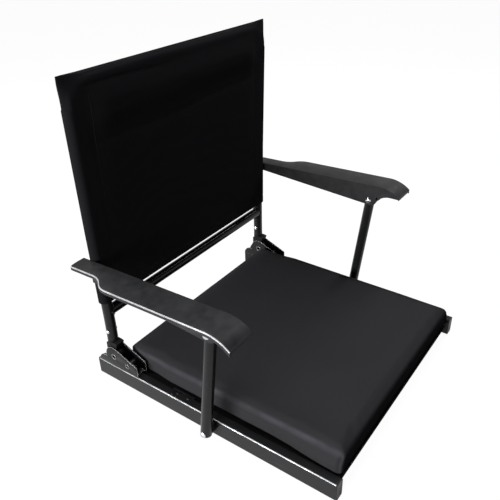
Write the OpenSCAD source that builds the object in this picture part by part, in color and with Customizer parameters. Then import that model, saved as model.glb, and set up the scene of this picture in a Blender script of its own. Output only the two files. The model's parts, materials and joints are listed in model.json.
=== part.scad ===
// Folding outdoor seat: a padded seat between two rails, and a fabric back that folds down over it.
// Each armrest is a link of a four-bar: it turns on the back's upright and on a strut from the rail.
// Millimetres. +Z is up, the sitter faces -Y, and left is the sitter's left, +X.
// The origin is on the floor, under the middle of the rails.

/* [Seat frame] */
// Width over both rails
seat_w = 450; // [430:1:480]
// Length of each rail, end caps included
rail_l = 466; // [450:1:500]
// Width of the rail's tube
rail_w = 16; // [15:0.5:18]
// Height of the rail's tube
rail_h = 32; // [30:0.5:34]
// Wall of the rail's tube
rail_wall = 1.5; // [1.2:0.1:2]
// Outer corner radius of the rail's tube
rail_r = 2; // [1.6:0.1:3]
// Thickness of an end cap's flange
cap_t = 2.5; // [1.5:0.1:3]
// Length of an end cap's plug
cap_plug = 12; // [6:1:20]
// Side of a square crossbar
bar_w = 16; // [14:1:16]
// Wall of a crossbar
bar_wall = 1.2; // [1:0.1:2]
// Distance of the front crossbar's middle behind the cushion's front edge
bar_front_in = 39; // [30:1:80]
// Distance of the rear crossbar's middle in front of the cushion's rear edge
bar_rear_in = 43; // [38:1:80]
// Height of the crossbars over the floor
bar_z = 5.3; // [4:0.1:5.5]
// Place of the middle strap along the rails
strap_y = 53; // [20:1:80]
// Width of the middle strap
strap_w = 44; // [40:1:60]
// Thickness of the middle strap
strap_t = 2.5; // [2:0.1:3]
// Thickness of the seat board
board_t = 6; // [5:0.5:6.5]

/* [Cushion] */
// Gap between the cushion and the rivet heads on the hinge brackets
pad_gap = 0.8; // [0.6:0.1:6]
// Depth of the cushion, front to back
pad_l = 412; // [400:1:413]
// Distance of the cushion's front edge behind the rails' front ends
pad_front_in = 4; // [3:1:12]
// Thickness of the cushion at its middle
pad_h = 38; // [34:1:38]
// Rise of the crown over the top's border
pad_crown = 3; // [1:0.5:6]
// How far each side is drawn in halfway between its corners
pad_draw = 1.6; // [0:0.2:4]
// Radius of the cushion's upright corners
pad_corner = 5; // [4:1:30]
// Radius of the cushion's upper edge
pad_edge = 9; // [6:0.5:10]
// Radius of the cushion's lower edge
pad_hem = 4; // [2:0.5:6]
// Depth of the groove along the side seam
pad_seam = 0.8; // [0:0.1:1.5]

/* [Back] */
// Diameter of the uprights, the top tube and the lower crossbar
tube_d = 18; // [16:0.5:18.2]
// Wall of the tubes
tube_wall = 1.2; // [1:0.1:2]
// Height of the whole seat
back_h = 516; // [480:1:540]
// Height of the lower crossbar's middle above the hinge's pivot
low_bar_up = 85.5; // [84.5:0.5:89]
// Height above the hinge's pivot at which the uprights begin to splay
splay_up = 63; // [61:1:67]
// Outward splay of the uprights, in degrees
splay = 0.95; // [0.5:0.05:1.2]
// Height of the sleeve's hem above the lower crossbar's middle
hem_up = 13.5; // [13:0.5:22]
// Radius of the bends in the top tube, at the tube's middle
bend_r = 32; // [28:1:50]
// Thickness of the sleeve's cloth
cloth_t = 0.9; // [0.6:0.1:1.2]
// How far each face of the sleeve is drawn in between the uprights
sleeve_draw = 1.5; // [0:0.1:3]
// Distance of the rivet that holds the knuckle in an upright below the splay
knuckle_rivet_drop = 15; // [7:1:16]

/* [Hinge] */
// Distance of the hinge's pivot in front of the rails' rear ends
hinge_in = 42; // [39:0.5:48]
// Distance of the uprights' middle behind the hinge's pivot
tube_back = 8; // [6:0.5:8]
// Angle by which the back folds down
fold = 75; // [60:1:76]
// Radius of the foot's upper part about the pivot
cam_r = 28; // [27:0.5:28.5]
// Height of the tube's lower end above the pivot
tube_up = 31; // [30:0.5:33]
// Height of the hinge's pivot above the rail
hinge_up = 21; // [19:0.5:24]
// Diameter of the pivot's shank
pivot_d = 8; // [6:0.5:9]
// Bore of the hollow pivot rivet
pivot_bore = 4.5; // [3:0.5:5]
// Thickness of the bracket's sheet
sheet_t = 1.6; // [1.2:0.1:1.8]
// Radius of the bracket's round top about the pivot
ear_r = 18.5; // [17:0.5:20]
// Radius of the bracket's rounded rear foot
foot_r = 15.5; // [12:0.5:17]
// Distance of the bracket's front edge from the pivot
bracket_front = 53; // [48:1:56]
// Height of the bracket's front edge above the rail
bracket_nose = 21; // [18:0.5:24]
// Distance of the stop pin in front of the pivot
stop_dy = 30; // [28:0.5:34]
// Distance of the stop pin below the pivot
stop_dz = 6.7; // [6:0.1:8]
// Diameter of the stop pin's shank
stop_d = 5; // [4:0.5:6]
// Diameter of the stop pin's sleeve
stop_sleeve_d = 10; // [8:0.5:10]
// Diameter of the heads on the hinge's rivets
hinge_head_d = 12; // [10:0.5:13]
// Thickness of the heads on the hinge's rivets
hinge_head_t = 1; // [0.8:0.1:1.2]

/* [Armrests] */
// Gap between a rail's outer face and the armrest's inner face
arm_side = 4; // [3:0.5:10]
// Width of an armrest at its front
arm_w = 49; // [45:0.5:56]
// Width of an armrest's rear part
arm_rear_w = 29; // [24:0.5:30]
// How far an armrest reaches behind its pivot
arm_tail = 16; // [16:1:30]
// How far an armrest reaches in front of the strut's bolt
arm_nose = 59.6; // [54:0.1:70]
// Length of the curve at the armrest's front, along the rails
arm_curl_l = 40; // [34:1:44]
// Radius of the curve at the front of the armrest's top
arm_curl_r = 60; // [50:1:80]
// Distance of the shoulder's middle, where the armrest widens, in front of the pivot
shoulder_ahead = 59; // [44:1:70]
// Length of the shoulder
shoulder_l = 49; // [44:1:60]
// Room between the corners of the pivot's nut and the underside of the armrest's top
nut_room = 0.4; // [0.3:0.1:3]
// Slope of the armrest's top, in degrees
arm_slope = 2; // [1:0.1:3]
// Thickness of the armrest's top
arm_t = 3.6; // [3:0.1:5]
// Depth of the lip round the armrest's wing
lip_h = 6; // [5:0.5:8]
// Wall of the armrest's skirts and lip
skirt_t = 2.5; // [2:0.1:2.6]
// Thickness of the armrest's inner ribs
rib_t = 2; // [1.5:0.1:2.5]

/* [Linkage] */
// Height of the armrest's pivot above the hinge's pivot
arm_up = 180.5; // [178:0.5:184]
// Distance of the strut's bolt in front of the armrest's pivot
arm_reach = 241.4; // [237:0.1:246]
// Distance of the strut's bolt below the armrest's pivot
bolt_drop = 13.2; // [11:0.1:16]
// Distance of the strut's foot rivet behind the strut's bolt
foot_back = 23.2; // [18:0.1:28]
// Height of the strut's foot rivet above the middle of the rail
foot_up = 3.4; // [0:0.1:4]
// Diameter of the struts
strut_d = 18; // [16:0.5:18]
// Diameter of the bolts and of the foot rivets
bolt_d = 6; // [5:0.5:7]
// Diameter of the bolt heads
bolt_head_d = 11; // [10:0.5:13]
// Height of the bolt heads
bolt_head_h = 2.6; // [2:0.1:3.5]
// Diameter of the spacer between strut and rail
foot_spacer_d = 17; // [16:0.5:18]

/* [Hidden] */
$fn = 64;

// Gap round a shank that turns in its hole, on the radius
run_gap = 0.05;
// Gap round a piece that is pushed or dropped into another, on the radius or a side
fit_gap = 0.1;
// Gap between faces that slide past each other, and round what is soft
slide_gap = 0.3;
// Overlap that makes a cut pass clean through a wall
cut = 1;
// Small sink that joins two shapes of one piece
weld = 0.2;

// Straight part of the upright that stands above its knuckle, below the splay
knuckle_below = 3;
// Distance of a bracket's outer ear inside the rail's outer face
bracket_edge = 0.4;
// Places that follow from the sizes above
rail_in = seat_w / 2 - rail_w;
rail_x = seat_w / 2 - rail_w / 2;
tube_r = tube_d / 2;
bracket_gap = tube_d + 2 * slide_gap;
bracket_w = bracket_gap + 2 * sheet_t;
hinge_x = seat_w / 2 - bracket_edge - bracket_w / 2;
hinge_y = rail_l / 2 - hinge_in;
hinge_z = rail_h + hinge_up;
tube_y = hinge_y + tube_back;
tube_z = hinge_z + tube_up;
stop_y = hinge_y - stop_dy;
stop_z = hinge_z - stop_dz;
board_z = bar_z + bar_w;
pad_w = 2 * (hinge_x - bracket_w / 2 - hinge_head_t - pad_gap);
pad_front_y = pad_front_in - rail_l / 2;
pad_mid_y = pad_front_y + pad_l / 2;
pad_z = board_z + board_t + slide_gap;
pad_top = pad_z + pad_h;
bar_front_y = pad_front_y + bar_front_in;
bar_rear_y = pad_front_y + pad_l - bar_rear_in;
low_bar_z = hinge_z + low_bar_up;
hem_z = low_bar_z + hem_up;
splay_z = hinge_z + splay_up;
knuckle_top = splay_z - knuckle_below;
knuckle_rivet_z = splay_z - knuckle_rivet_drop;
top_tube_z = back_h - cloth_t - slide_gap - tube_r;
bend_z = top_tube_z - bend_r * (1 + sin(splay));
nut_af = 10;
nut_r = nut_af / 2 / cos(30);
nut_h = 5;
arm_pivot_z = hinge_z + arm_up;
strut_top_y = tube_y - arm_reach;
strut_top_z = arm_pivot_z - bolt_drop;
strut_foot_y = strut_top_y + foot_back;
strut_foot_z = rail_h / 2 + foot_up;
arm_rear_y = tube_y + arm_tail;
arm_tip_y = strut_top_y - arm_nose;
arm_curl_y = arm_tip_y + arm_curl_l;
shoulder_y = tube_y - shoulder_ahead;
// Height of the top's highest line, where the front curve begins
arm_top_z = arm_pivot_z + nut_r + nut_room + arm_t + (tube_y - arm_curl_y) * tan(arm_slope);
arm_in = seat_w / 2 + arm_side;
arm_out = arm_in + arm_w;
arm_rear_out = arm_in + arm_rear_w;
hollow_in = arm_in + skirt_t;
hollow_out = hollow_in + strut_d + 2 * slide_gap;
strut_x = (hollow_in + hollow_out) / 2;
skirt_out = hollow_out + skirt_t;

// Middle of an upright at height z
function upright_x(z) = hinge_x + max(0, z - splay_z) * tan(splay);

// Height of the armrest's top at y, along its straight part
function arm_line(y) = arm_top_z - (y - arm_curl_y) * tan(arm_slope);

// Points of an arc about c, from the angle a0 to a1 in n steps
function arc(c, r, a0, a1, n) = [for (k = [0 : n]) let (a = a0 + (a1 - a0) * k / n) c + r * [cos(a), sin(a)]];

// A path from its last point to its first
function backwards(path) = [for (k = [len(path) - 1 : -1 : 0]) path[k]];

// A ring of n points is joined to the next, and the first and last rings are closed
function ring_faces(rings, n) = concat(
    [[for (i = [0 : n - 1]) n - 1 - i]],
    [for (k = [0 : rings - 2]) for (i = [0 : n - 1]) each [
        [k * n + i, k * n + (i + 1) % n, (k + 1) * n + i],
        [k * n + (i + 1) % n, (k + 1) * n + (i + 1) % n, (k + 1) * n + i]
    ]],
    [[for (i = [0 : n - 1]) (rings - 1) * n + i]]
);

// Draws on the left, and mirrored on the right
module on_side(s) {
    if (s > 0) children();
    else mirror([1, 0, 0]) children();
}

// Round bar or bore along X, from x0 to x1, through the point y, z
module bar_x(d, x0, x1, y, z) {
    translate([x0, y, z]) rotate([0, 90, 0]) cylinder(d = d, h = x1 - x0);
}

// Upright round bar or bore from z0 to z1
module bar_z_at(d, x, y, z0, z1) {
    translate([x, y, z0]) cylinder(d = d, h = z1 - z0);
}

// Domed head on the face at x, that rises away from it in the direction of dir
module dome_x(d, h, x, y, z, dir) {
    r = (d * d / 4 + h * h) / (2 * h);
    translate([x, y, z]) rotate([0, 90 * dir, 0]) intersection() {
        translate([0, 0, h - r]) sphere(r = r);
        cylinder(d = d + cut, h = h + cut);
    }
}

// Rectangle with round corners, centred
module round_rect(w, h, r) {
    square([w - 2 * r, h], center = true);
    square([w, h - 2 * r], center = true);
    for (x = [-1, 1], y = [-1, 1])
        translate([x * (w / 2 - r), y * (h / 2 - r)]) circle(r = r, $fn = 32);
}

// Solid along Y from y0 to y1, whose section is drawn in X and Z
module along_y(y0, y1) {
    translate([0, y1, 0]) rotate([90, 0, 0]) linear_extrude(y1 - y0) children();
}

// Solid along X from x0 to x1, whose section is drawn in Y and Z
module along_x(x0, x1) {
    translate([x0, 0, 0]) rotate([90, 0, 90]) linear_extrude(x1 - x0) children();
}

// Rails and what closes them

// Blind rivets of the middle strap: shank, head, bulb and hollow
strap_rivet_d = 3.2;
strap_rivet_head = 6.4;
strap_rivet_h = 1.2;
strap_bulb_d = 4.4;
strap_bulb_h = 2.5;
strap_rivet_hollow = 1.6;
// Their places: an outer one, and two in a row nearer to the rail's inner edge
strap_rivet_side = 1.6;
strap_rivet_step = 5.4;
strap_rivet_reach = 14;
strap_rivet_stagger = 6.6;
strap_rivets = [
    [rail_x + strap_rivet_side, strap_y + strap_rivet_reach],
    [rail_x + strap_rivet_side - strap_rivet_step, strap_y + strap_rivet_reach - strap_rivet_stagger],
    [rail_x + strap_rivet_side - strap_rivet_step, strap_y - strap_rivet_reach]
];
// Rivets of a bracket's base: one behind its front edge, and one just clear of the end cap's plug
bracket_rivet_d = 4.8;
bracket_rivet_head = 9;
bracket_rivet_rim = 6;
bracket_rivet_h = 1.6;
bracket_rivet_front = 14;
bracket_rivet_room = 1;
bracket_rivets = [
    hinge_y - bracket_front + bracket_rivet_front,
    rail_l / 2 - cap_t - cap_plug - bracket_rivet_room - bracket_rivet_head / 2
];
// The foot rivet passes a hole in the rail that leaves room for the linkage's drift
foot_drift = 3.1;
foot_hole = bolt_d + 2 * foot_drift;

module rail(s) {
    color([0.13, 0.13, 0.14]) on_side(s) difference() {
        translate([rail_x, 0, rail_h / 2]) rotate([90, 0, 0])
            linear_extrude(rail_l - 2 * cap_t, center = true) round_rect(rail_w, rail_h, rail_r);
        translate([rail_x, 0, rail_h / 2]) rotate([90, 0, 0])
            linear_extrude(rail_l, center = true)
                square([rail_w - 2 * rail_wall, rail_h - 2 * rail_wall], center = true);
        for (p = strap_rivets)
            bar_z_at(strap_rivet_d + 2 * run_gap, p[0], p[1], rail_h - rail_wall - cut, rail_h + cut);
        for (y = bracket_rivets)
            bar_z_at(bracket_rivet_d + 2 * run_gap, rail_x, y, rail_h - rail_wall - cut, rail_h + cut);
        bar_x(foot_hole, rail_x, seat_w / 2 + cut, strut_foot_y, strut_foot_z);
        translate([rail_in - cut, strap_y - strap_w / 2 - fit_gap, rail_h - rail_wall - strap_t - fit_gap])
            cube([rail_wall + 2 * cut, strap_w + 2 * fit_gap, strap_t + fit_gap]);
    }
}

// End caps: a flange as large as the tube and a hollow plug inside it
cap_wall = 2;
cap_plug_r = 1;
module rail_caps(s) {
    plug_in = rail_wall + fit_gap;
    hollow_in_cap = plug_in + cap_wall;
    color([0.05, 0.05, 0.05]) on_side(s) for (e = [-1, 1])
        translate([rail_x, e * rail_l / 2, rail_h / 2]) rotate([90 * e, 0, 0]) {
            linear_extrude(cap_t) round_rect(rail_w, rail_h, rail_r);
            translate([0, 0, cap_t - weld]) linear_extrude(cap_plug + weld) difference() {
                round_rect(rail_w - 2 * plug_in, rail_h - 2 * plug_in, cap_plug_r);
                round_rect(rail_w - 2 * hollow_in_cap, rail_h - 2 * hollow_in_cap, cap_plug_r);
            }
        }
}

// Square tube between the rails, welded to their inner walls, drilled for the board's screws
screw_d = 4;
// The board reaches almost to the rails, and its outer screws stand back from its sides.
// Its front and rear edges stand back from the cushion's
board_gap = 1;
board_inset = 3;
board_half = rail_in - board_gap;
screw_in = 68;
screw_x = board_half - screw_in;
screw_xs = [-screw_x, 0, screw_x];
module crossbar(y) {
    color([0.13, 0.13, 0.14]) difference() {
        translate([-rail_in, y - bar_w / 2, bar_z]) cube([2 * rail_in, bar_w, bar_w]);
        translate([-rail_in - cut, y - bar_w / 2 + bar_wall, bar_z + bar_wall])
            cube([2 * (rail_in + cut), bar_w - 2 * bar_wall, bar_w - 2 * bar_wall]);
        for (x = screw_xs) bar_z_at(screw_d + 2 * fit_gap, x, y, bar_z - cut, board_z + cut);
    }
}

// Steel strap under the board: its ends step up, pass a slot in each rail and are riveted under the top wall
strap_end_gap = 2;
strap_leg_gap = 1;
strap_reach = rail_w - 2 * rail_wall - strap_end_gap;
strap_leg = rail_in - strap_leg_gap;
module middle_strap() {
    tab_z = rail_h - rail_wall;
    step = strap_leg;
    color([0.55, 0.56, 0.58]) difference() {
        along_y(strap_y - strap_w / 2, strap_y + strap_w / 2) {
            translate([-step, board_z - strap_t]) square([2 * step, strap_t]);
            for (m = [0, 1]) mirror([m, 0]) {
                translate([step - strap_t, board_z - strap_t])
                    square([strap_t, tab_z - board_z + strap_t]);
                translate([step - strap_t, tab_z - strap_t])
                    square([rail_in + rail_wall + strap_reach - step + strap_t, strap_t]);
            }
        }
        for (m = [0, 1]) mirror([m, 0, 0]) for (p = strap_rivets)
            bar_z_at(strap_rivet_d + 2 * run_gap, p[0], p[1], tab_z - strap_t - cut, tab_z + cut);
        for (x = screw_xs)
            bar_z_at(screw_d + 2 * fit_gap, x, strap_y, board_z - strap_t - cut, board_z + cut);
    }
}

// A blind rivet has a low domed head, a hollow shank and a bulb below
module blind_rivet(p) {
    below = rail_h - rail_wall - strap_t;
    difference() {
        union() {
            bar_z_at(strap_rivet_d, p[0], p[1], below - strap_bulb_h, rail_h + weld);
            bar_z_at(strap_bulb_d, p[0], p[1], below - strap_bulb_h, below);
            translate([p[0], p[1], rail_h])
                cylinder(d1 = strap_rivet_head, d2 = strap_bulb_d, h = strap_rivet_h);
        }
        bar_z_at(strap_rivet_hollow, p[0], p[1], rail_h - strap_rivet_h, rail_h + strap_rivet_h + cut);
    }
}

module strap_rivets(s) {
    color([0.62, 0.63, 0.65]) on_side(s) for (p = strap_rivets) blind_rivet(p);
}

// Seat board, with a notch round each leg of the strap, and its screws
notch_gap = 1;
notch_r = 3;
screw_grip = 4.5;
screw_head_d = 8;
screw_head_low = 5.6;
screw_head_h = 2.4;
module seat_board() {
    color([0.1, 0.08, 0.07]) difference() {
        translate([0, pad_mid_y, board_z]) linear_extrude(board_t)
            round_rect(2 * board_half, pad_l - 2 * board_inset, notch_r);
        for (m = [0, 1]) mirror([m, 0, 0])
            translate([strap_leg - strap_t - notch_gap, strap_y - strap_w / 2 - notch_gap, board_z - cut])
                cube([board_half, strap_w + 2 * notch_gap, board_t + 2 * cut]);
        for (y = [bar_front_y, strap_y, bar_rear_y], x = screw_xs)
            bar_z_at(screw_d + 2 * run_gap, x, y, board_z - cut, board_z + screw_grip + fit_gap);
    }
}

// A pan-head screw whose head bears on the face at height z
module board_screw(x, y, z) {
    bar_z_at(screw_d, x, y, z - weld, board_z + screw_grip);
    translate([x, y, z - screw_head_h]) cylinder(d1 = screw_head_low, d2 = screw_head_d, h = screw_head_h);
}

module board_screws() {
    color([0.62, 0.63, 0.65]) for (x = screw_xs) {
        for (y = [bar_front_y, bar_rear_y]) board_screw(x, y, bar_z);
        board_screw(x, strap_y, board_z - strap_t);
    }
}

// Seat cushion: rings go up from the underside, round the lower edge, past the seam and over the crown
pad_side_steps = 8;
pad_corner_steps = 6;
pad_n = 4 * (pad_side_steps + pad_corner_steps);
// Outline at an inset from the sides. u runs along one side, and the drawn-in sides meet the round corners
function pad_side(a, b, turn, inset) = [
    for (k = [1 : pad_side_steps]) let (
        u = k / (pad_side_steps + 1),
        half = b - pad_corner,
        along = -half + 2 * half * u,
        across = a - inset - pad_draw * sin(180 * u)
    ) [across * cos(turn) - along * sin(turn), across * sin(turn) + along * cos(turn)]
];
function pad_turn(a, b, turn, inset) = [
    for (k = [0 : pad_corner_steps - 1]) let (
        t = 90 * k / (pad_corner_steps - 1),
        r = max(0.5, pad_corner - inset),
        x = a - inset - r + r * cos(t),
        y = b - inset - r + r * sin(t)
    ) [x * cos(turn) - y * sin(turn), x * sin(turn) + y * cos(turn)]
];
function pad_outline(inset) = let (a = pad_w / 2, b = pad_l / 2) concat(
    pad_side(a, b, 0, inset), pad_turn(a, b, 0, inset),
    pad_side(b, a, 90, inset), pad_turn(b, a, 90, inset),
    pad_side(a, b, 180, inset), pad_turn(a, b, 180, inset),
    pad_side(b, a, 270, inset), pad_turn(b, a, 270, inset)
);
// One ring at height z. share scales the ring towards the middle, for the crown
function pad_ring(inset, z, share = 1) = [
    for (p = pad_outline(inset)) [p[0] * share, p[1] * share + pad_mid_y, z]
];
// The higher this power, the flatter the middle of the crown
crown_power = 3.2;
pad_side_low = pad_z + pad_hem;
pad_side_high = pad_top - pad_crown - pad_edge;
pad_rings = concat(
    [pad_ring(pad_hem, pad_z, 0.5)],
    [for (t = [0 : 30 : 90]) pad_ring(pad_hem * (1 - sin(t)), pad_z + pad_hem * (1 - cos(t)))],
    [pad_ring(0, (pad_side_low + pad_side_high) / 2)],
    [for (t = [0 : 18 : 90])
        pad_ring(pad_edge * (1 - cos(t)) + pad_seam * max(0, 1 - t / 18), pad_side_high + pad_edge * sin(t))],
    [for (share = [0.86, 0.66, 0.42, 0.2])
        pad_ring(pad_edge, pad_top - pad_crown * pow(share, crown_power), share)]
);
module seat_cushion() {
    color([0.09, 0.09, 0.1])
        polyhedron([for (r = pad_rings) each r], ring_faces(len(pad_rings), pad_n), convexity = 4);
}

// Hinge bracket: a pressed channel with two ears, a sloping nose, a rounded foot and a rear web

nose_r = 4;
// The rear foot's middle stands this far behind the round ear
foot_step = 3.5;
// Height of the rear web above the rail
web_h = 12;
nose_z = rail_h + bracket_nose - nose_r;
module ear_outline() {
    slope = atan2(hinge_z + ear_r - nose_z - nose_r, bracket_front);
    front = hinge_y - bracket_front;
    translate([hinge_y, hinge_z]) circle(r = ear_r);
    translate([front + nose_r, nose_z]) circle(r = nose_r, $fn = 32);
    polygon([
        [front, rail_h], [front, nose_z],
        [front + nose_r - nose_r * sin(slope), nose_z + nose_r * cos(slope)],
        [hinge_y - ear_r * sin(slope), hinge_z + ear_r * cos(slope)],
        [hinge_y, hinge_z], [hinge_y + ear_r, hinge_z], [hinge_y + ear_r, rail_h]
    ]);
    intersection() {
        translate([hinge_y + ear_r + foot_step, rail_h]) circle(r = foot_r);
        translate([hinge_y, rail_h]) square([ear_r + foot_step + foot_r + cut, foot_r]);
    }
}

// Radius of the foot's lower part about the pivot, which turns just in front of the web
heel_turn_r = 11;
web_y = hinge_y + heel_turn_r + 2 * slide_gap;
module hinge_bracket(s) {
    in_x = hinge_x - bracket_w / 2;
    out_x = hinge_x + bracket_w / 2;
    base_y0 = hinge_y - bracket_front + nose_r;
    base_y1 = hinge_y + ear_r + foot_step + foot_r - nose_r / 4;
    color([0.2, 0.2, 0.21]) on_side(s) difference() {
        union() {
            along_x(in_x, in_x + sheet_t) ear_outline();
            along_x(out_x - sheet_t, out_x) ear_outline();
            translate([in_x, base_y0, rail_h]) cube([bracket_w, base_y1 - base_y0, sheet_t]);
            translate([in_x + weld, web_y, rail_h + weld])
                cube([bracket_w - 2 * weld, sheet_t, web_h]);
        }
        bar_x(pivot_d + 2 * run_gap, in_x - cut, out_x + cut, hinge_y, hinge_z);
        bar_x(stop_d + 2 * run_gap, in_x - cut, out_x + cut, stop_y, stop_z);
        for (y = bracket_rivets)
            bar_z_at(bracket_rivet_d + 2 * run_gap, rail_x, y, rail_h - cut, rail_h + sheet_t + cut);
    }
}

module bracket_rivets(s) {
    low = rail_h - rail_wall;
    high = rail_h + sheet_t;
    color([0.3, 0.3, 0.31]) on_side(s) for (y = bracket_rivets) {
        bar_z_at(bracket_rivet_d, rail_x, y, low - weld, high + weld);
        translate([rail_x, y, low - bracket_rivet_h])
            cylinder(d1 = bracket_rivet_rim, d2 = bracket_rivet_head, h = bracket_rivet_h);
        translate([rail_x, y, high])
            cylinder(d1 = bracket_rivet_head, d2 = bracket_rivet_rim, h = bracket_rivet_h);
    }
}

// A hollow rivet across both ears, with a dished head on each side
module hollow_rivet(d, head_d, bore, y, z) {
    in_x = hinge_x - bracket_w / 2;
    out_x = hinge_x + bracket_w / 2;
    difference() {
        union() {
            bar_x(d, in_x - weld, out_x + weld, y, z);
            bar_x(head_d, in_x - hinge_head_t, in_x, y, z);
            bar_x(head_d, out_x, out_x + hinge_head_t, y, z);
        }
        bar_x(bore, in_x - 2 * cut, out_x + 2 * cut, y, z);
    }
}

module hinge_pivot(s) {
    color([0.3, 0.3, 0.31]) on_side(s) hollow_rivet(pivot_d, hinge_head_d, pivot_bore, hinge_y, hinge_z);
}

stop_head_d = 10;
stop_bore = 2.5;
module stop_pin(s) {
    color([0.3, 0.3, 0.31]) on_side(s) hollow_rivet(stop_d, stop_head_d, stop_bore, stop_y, stop_z);
}

module stop_sleeve(s) {
    color([0.62, 0.63, 0.65]) on_side(s) difference() {
        bar_x(stop_sleeve_d, hinge_x - bracket_gap / 2 + fit_gap, hinge_x + bracket_gap / 2 - fit_gap,
            stop_y, stop_z);
        bar_x(stop_d + 2 * run_gap, hinge_x - bracket_gap, hinge_x + bracket_gap, stop_y, stop_z);
    }
}

// Back frame

// Round bar along an upright, from height z0 to z1: straight below, and splayed and cut square above.
// Drawing the tube through the bend leaves it a hair slimmer above
bend_loss = 0.1;
bend_lap = 2;
module upright_bar(d, z0, z1) {
    if (z0 < splay_z) bar_z_at(d, hinge_x, tube_y, z0, min(z1, splay_z));
    if (z1 > splay_z)
        translate([hinge_x, tube_y, splay_z]) rotate([0, splay, 0]) {
            a0 = max((z0 - splay_z) / cos(splay), -bend_lap);
            translate([0, 0, a0]) cylinder(d = d - bend_loss, h = (z1 - splay_z) / cos(splay) - a0);
        }
}

knuckle_d = tube_d - 2 * (tube_wall + fit_gap);
rivet_d = 4;
module upright(s) {
    color([0.12, 0.12, 0.13]) on_side(s) difference() {
        upright_bar(tube_d, tube_z, bend_z - run_gap);
        upright_bar(tube_d - 2 * tube_wall, tube_z - cut, bend_z + cut);
        bar_x(rivet_d + 2 * run_gap, hinge_x - tube_d, hinge_x + tube_d, tube_y, knuckle_rivet_z);
        bar_x(bolt_d + 2 * run_gap, upright_x(arm_pivot_z) - tube_d, upright_x(arm_pivot_z) + tube_d,
            tube_y, arm_pivot_z);
    }
}

// Moulded foot of an upright: a tongue that turns between the ears, a collar that the tube stands on and
// a plug inside the tube. The tongue's upper part ends in a step that meets the stop sleeve when folded
tongue_w = tube_d - 1;
foot_rear = tube_back + tube_r - 1;
foot_low = 2;
stop_reach = norm([stop_dy, stop_dz]);
step_turn = 180 + atan2(stop_dz, stop_dy) - fold - asin((stop_sleeve_d / 2 + slide_gap) / stop_reach);
foot_steps = 24;
cam_steps = 10;
module tongue_outline() {
    translate([hinge_y, hinge_z]) polygon(concat(
        arc([0, 0], cam_r, step_turn, acos(foot_rear / cam_r), cam_steps),
        [[foot_rear, foot_low]],
        arc([0, 0], heel_turn_r, -10, step_turn - 360, foot_steps)
    ));
}
module knuckle(s) {
    color([0.06, 0.06, 0.06]) on_side(s) difference() {
        union() {
            along_x(hinge_x - tongue_w / 2, hinge_x + tongue_w / 2) tongue_outline();
            bar_z_at(tube_d - fit_gap, hinge_x, tube_y, hinge_z + ear_r, tube_z);
            bar_z_at(knuckle_d, hinge_x, tube_y, tube_z - weld, knuckle_top);
        }
        bar_x(pivot_d + 2 * run_gap, hinge_x - tube_d, hinge_x + tube_d, hinge_y, hinge_z);
        bar_x(rivet_d + 2 * run_gap, hinge_x - tube_d, hinge_x + tube_d, tube_y, knuckle_rivet_z);
    }
}

knuckle_head_d = 8;
knuckle_head_h = 2.2;
module knuckle_rivet(s) {
    color([0.8, 0.8, 0.82]) on_side(s) {
        bar_x(rivet_d, hinge_x - tube_r - cut, hinge_x + tube_r + cut, tube_y, knuckle_rivet_z);
        for (dir = [-1, 1])
            dome_x(knuckle_head_d, knuckle_head_h, hinge_x + dir * tube_r, tube_y, knuckle_rivet_z, dir);
    }
}

// Top tube: a bow whose two elbows butt on the uprights. Each elbow laps a little into the straight part
elbow_lap = 1.8;
module bow(d) {
    reach = upright_x(bend_z) - bend_r * cos(splay);
    bar_x(d, -reach, reach, tube_y, top_tube_z);
    for (m = [0, 1]) mirror([m, 0, 0])
        translate([reach, tube_y, top_tube_z - bend_r]) rotate([90, 0, 0]) rotate([0, 0, -splay])
            rotate_extrude(angle = 90 + splay + elbow_lap) translate([bend_r, 0]) circle(d = d - bend_loss);
}
module top_tube() {
    color([0.12, 0.12, 0.13]) difference() {
        bow(tube_d);
        bow(tube_d - 2 * tube_wall);
    }
}

// Lower crossbar, coped to the uprights
module low_crossbar() {
    reach = upright_x(low_bar_z);
    color([0.12, 0.12, 0.13]) difference() {
        bar_x(tube_d, -reach, reach, tube_y, low_bar_z);
        bar_x(tube_d - 2 * tube_wall, -reach - cut, reach + cut, tube_y, low_bar_z);
        for (m = [0, 1]) mirror([m, 0, 0])
            upright_bar(tube_d + fit_gap, low_bar_z - tube_d, low_bar_z + tube_d);
    }
}

// Fabric sleeve: a bag open below. Rings climb the inside from the top down, then the outside from the hem up
sleeve_end_steps = 8;
sleeve_face_steps = 8;
sleeve_n = 2 * (sleeve_end_steps + 1 + sleeve_face_steps);
// Outline of the bag at a height: round over each upright, drawn in between them
function sleeve_ring(z, r, half, draw) = let (reach = upright_x(min(z, top_tube_z))) [
    for (m = [0, 1]) each concat(
        [for (k = [0 : sleeve_end_steps]) let (t = -90 + 180 * k / sleeve_end_steps)
            [(reach + r * cos(t)) * (1 - 2 * m), tube_y + half * sin(t) * (1 - 2 * m), z]],
        [for (k = [1 : sleeve_face_steps]) let (u = k / (sleeve_face_steps + 1))
            [reach * (1 - 2 * u) * (1 - 2 * m), tube_y + (half - draw * sin(180 * u)) * (1 - 2 * m), z]]
    )
];
sleeve_in = tube_r + slide_gap;
sleeve_out = sleeve_in + cloth_t;
// The face is drawn in more towards the hem, and not at all over the top tube
sleeve_fade = 60;
function sleeve_pull(z) = sleeve_draw * sin(90 * (top_tube_z - z) / (top_tube_z - hem_z))
    * min(1, (top_tube_z - z) / sleeve_fade);
sleeve_levels = [0, 0.12, 0.3, 0.5, 0.7, 0.86, 0.95, 1];
function sleeve_z(share) = hem_z + (top_tube_z - hem_z) * share;
sleeve_top_turns = [22, 44, 62, 80];
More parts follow.
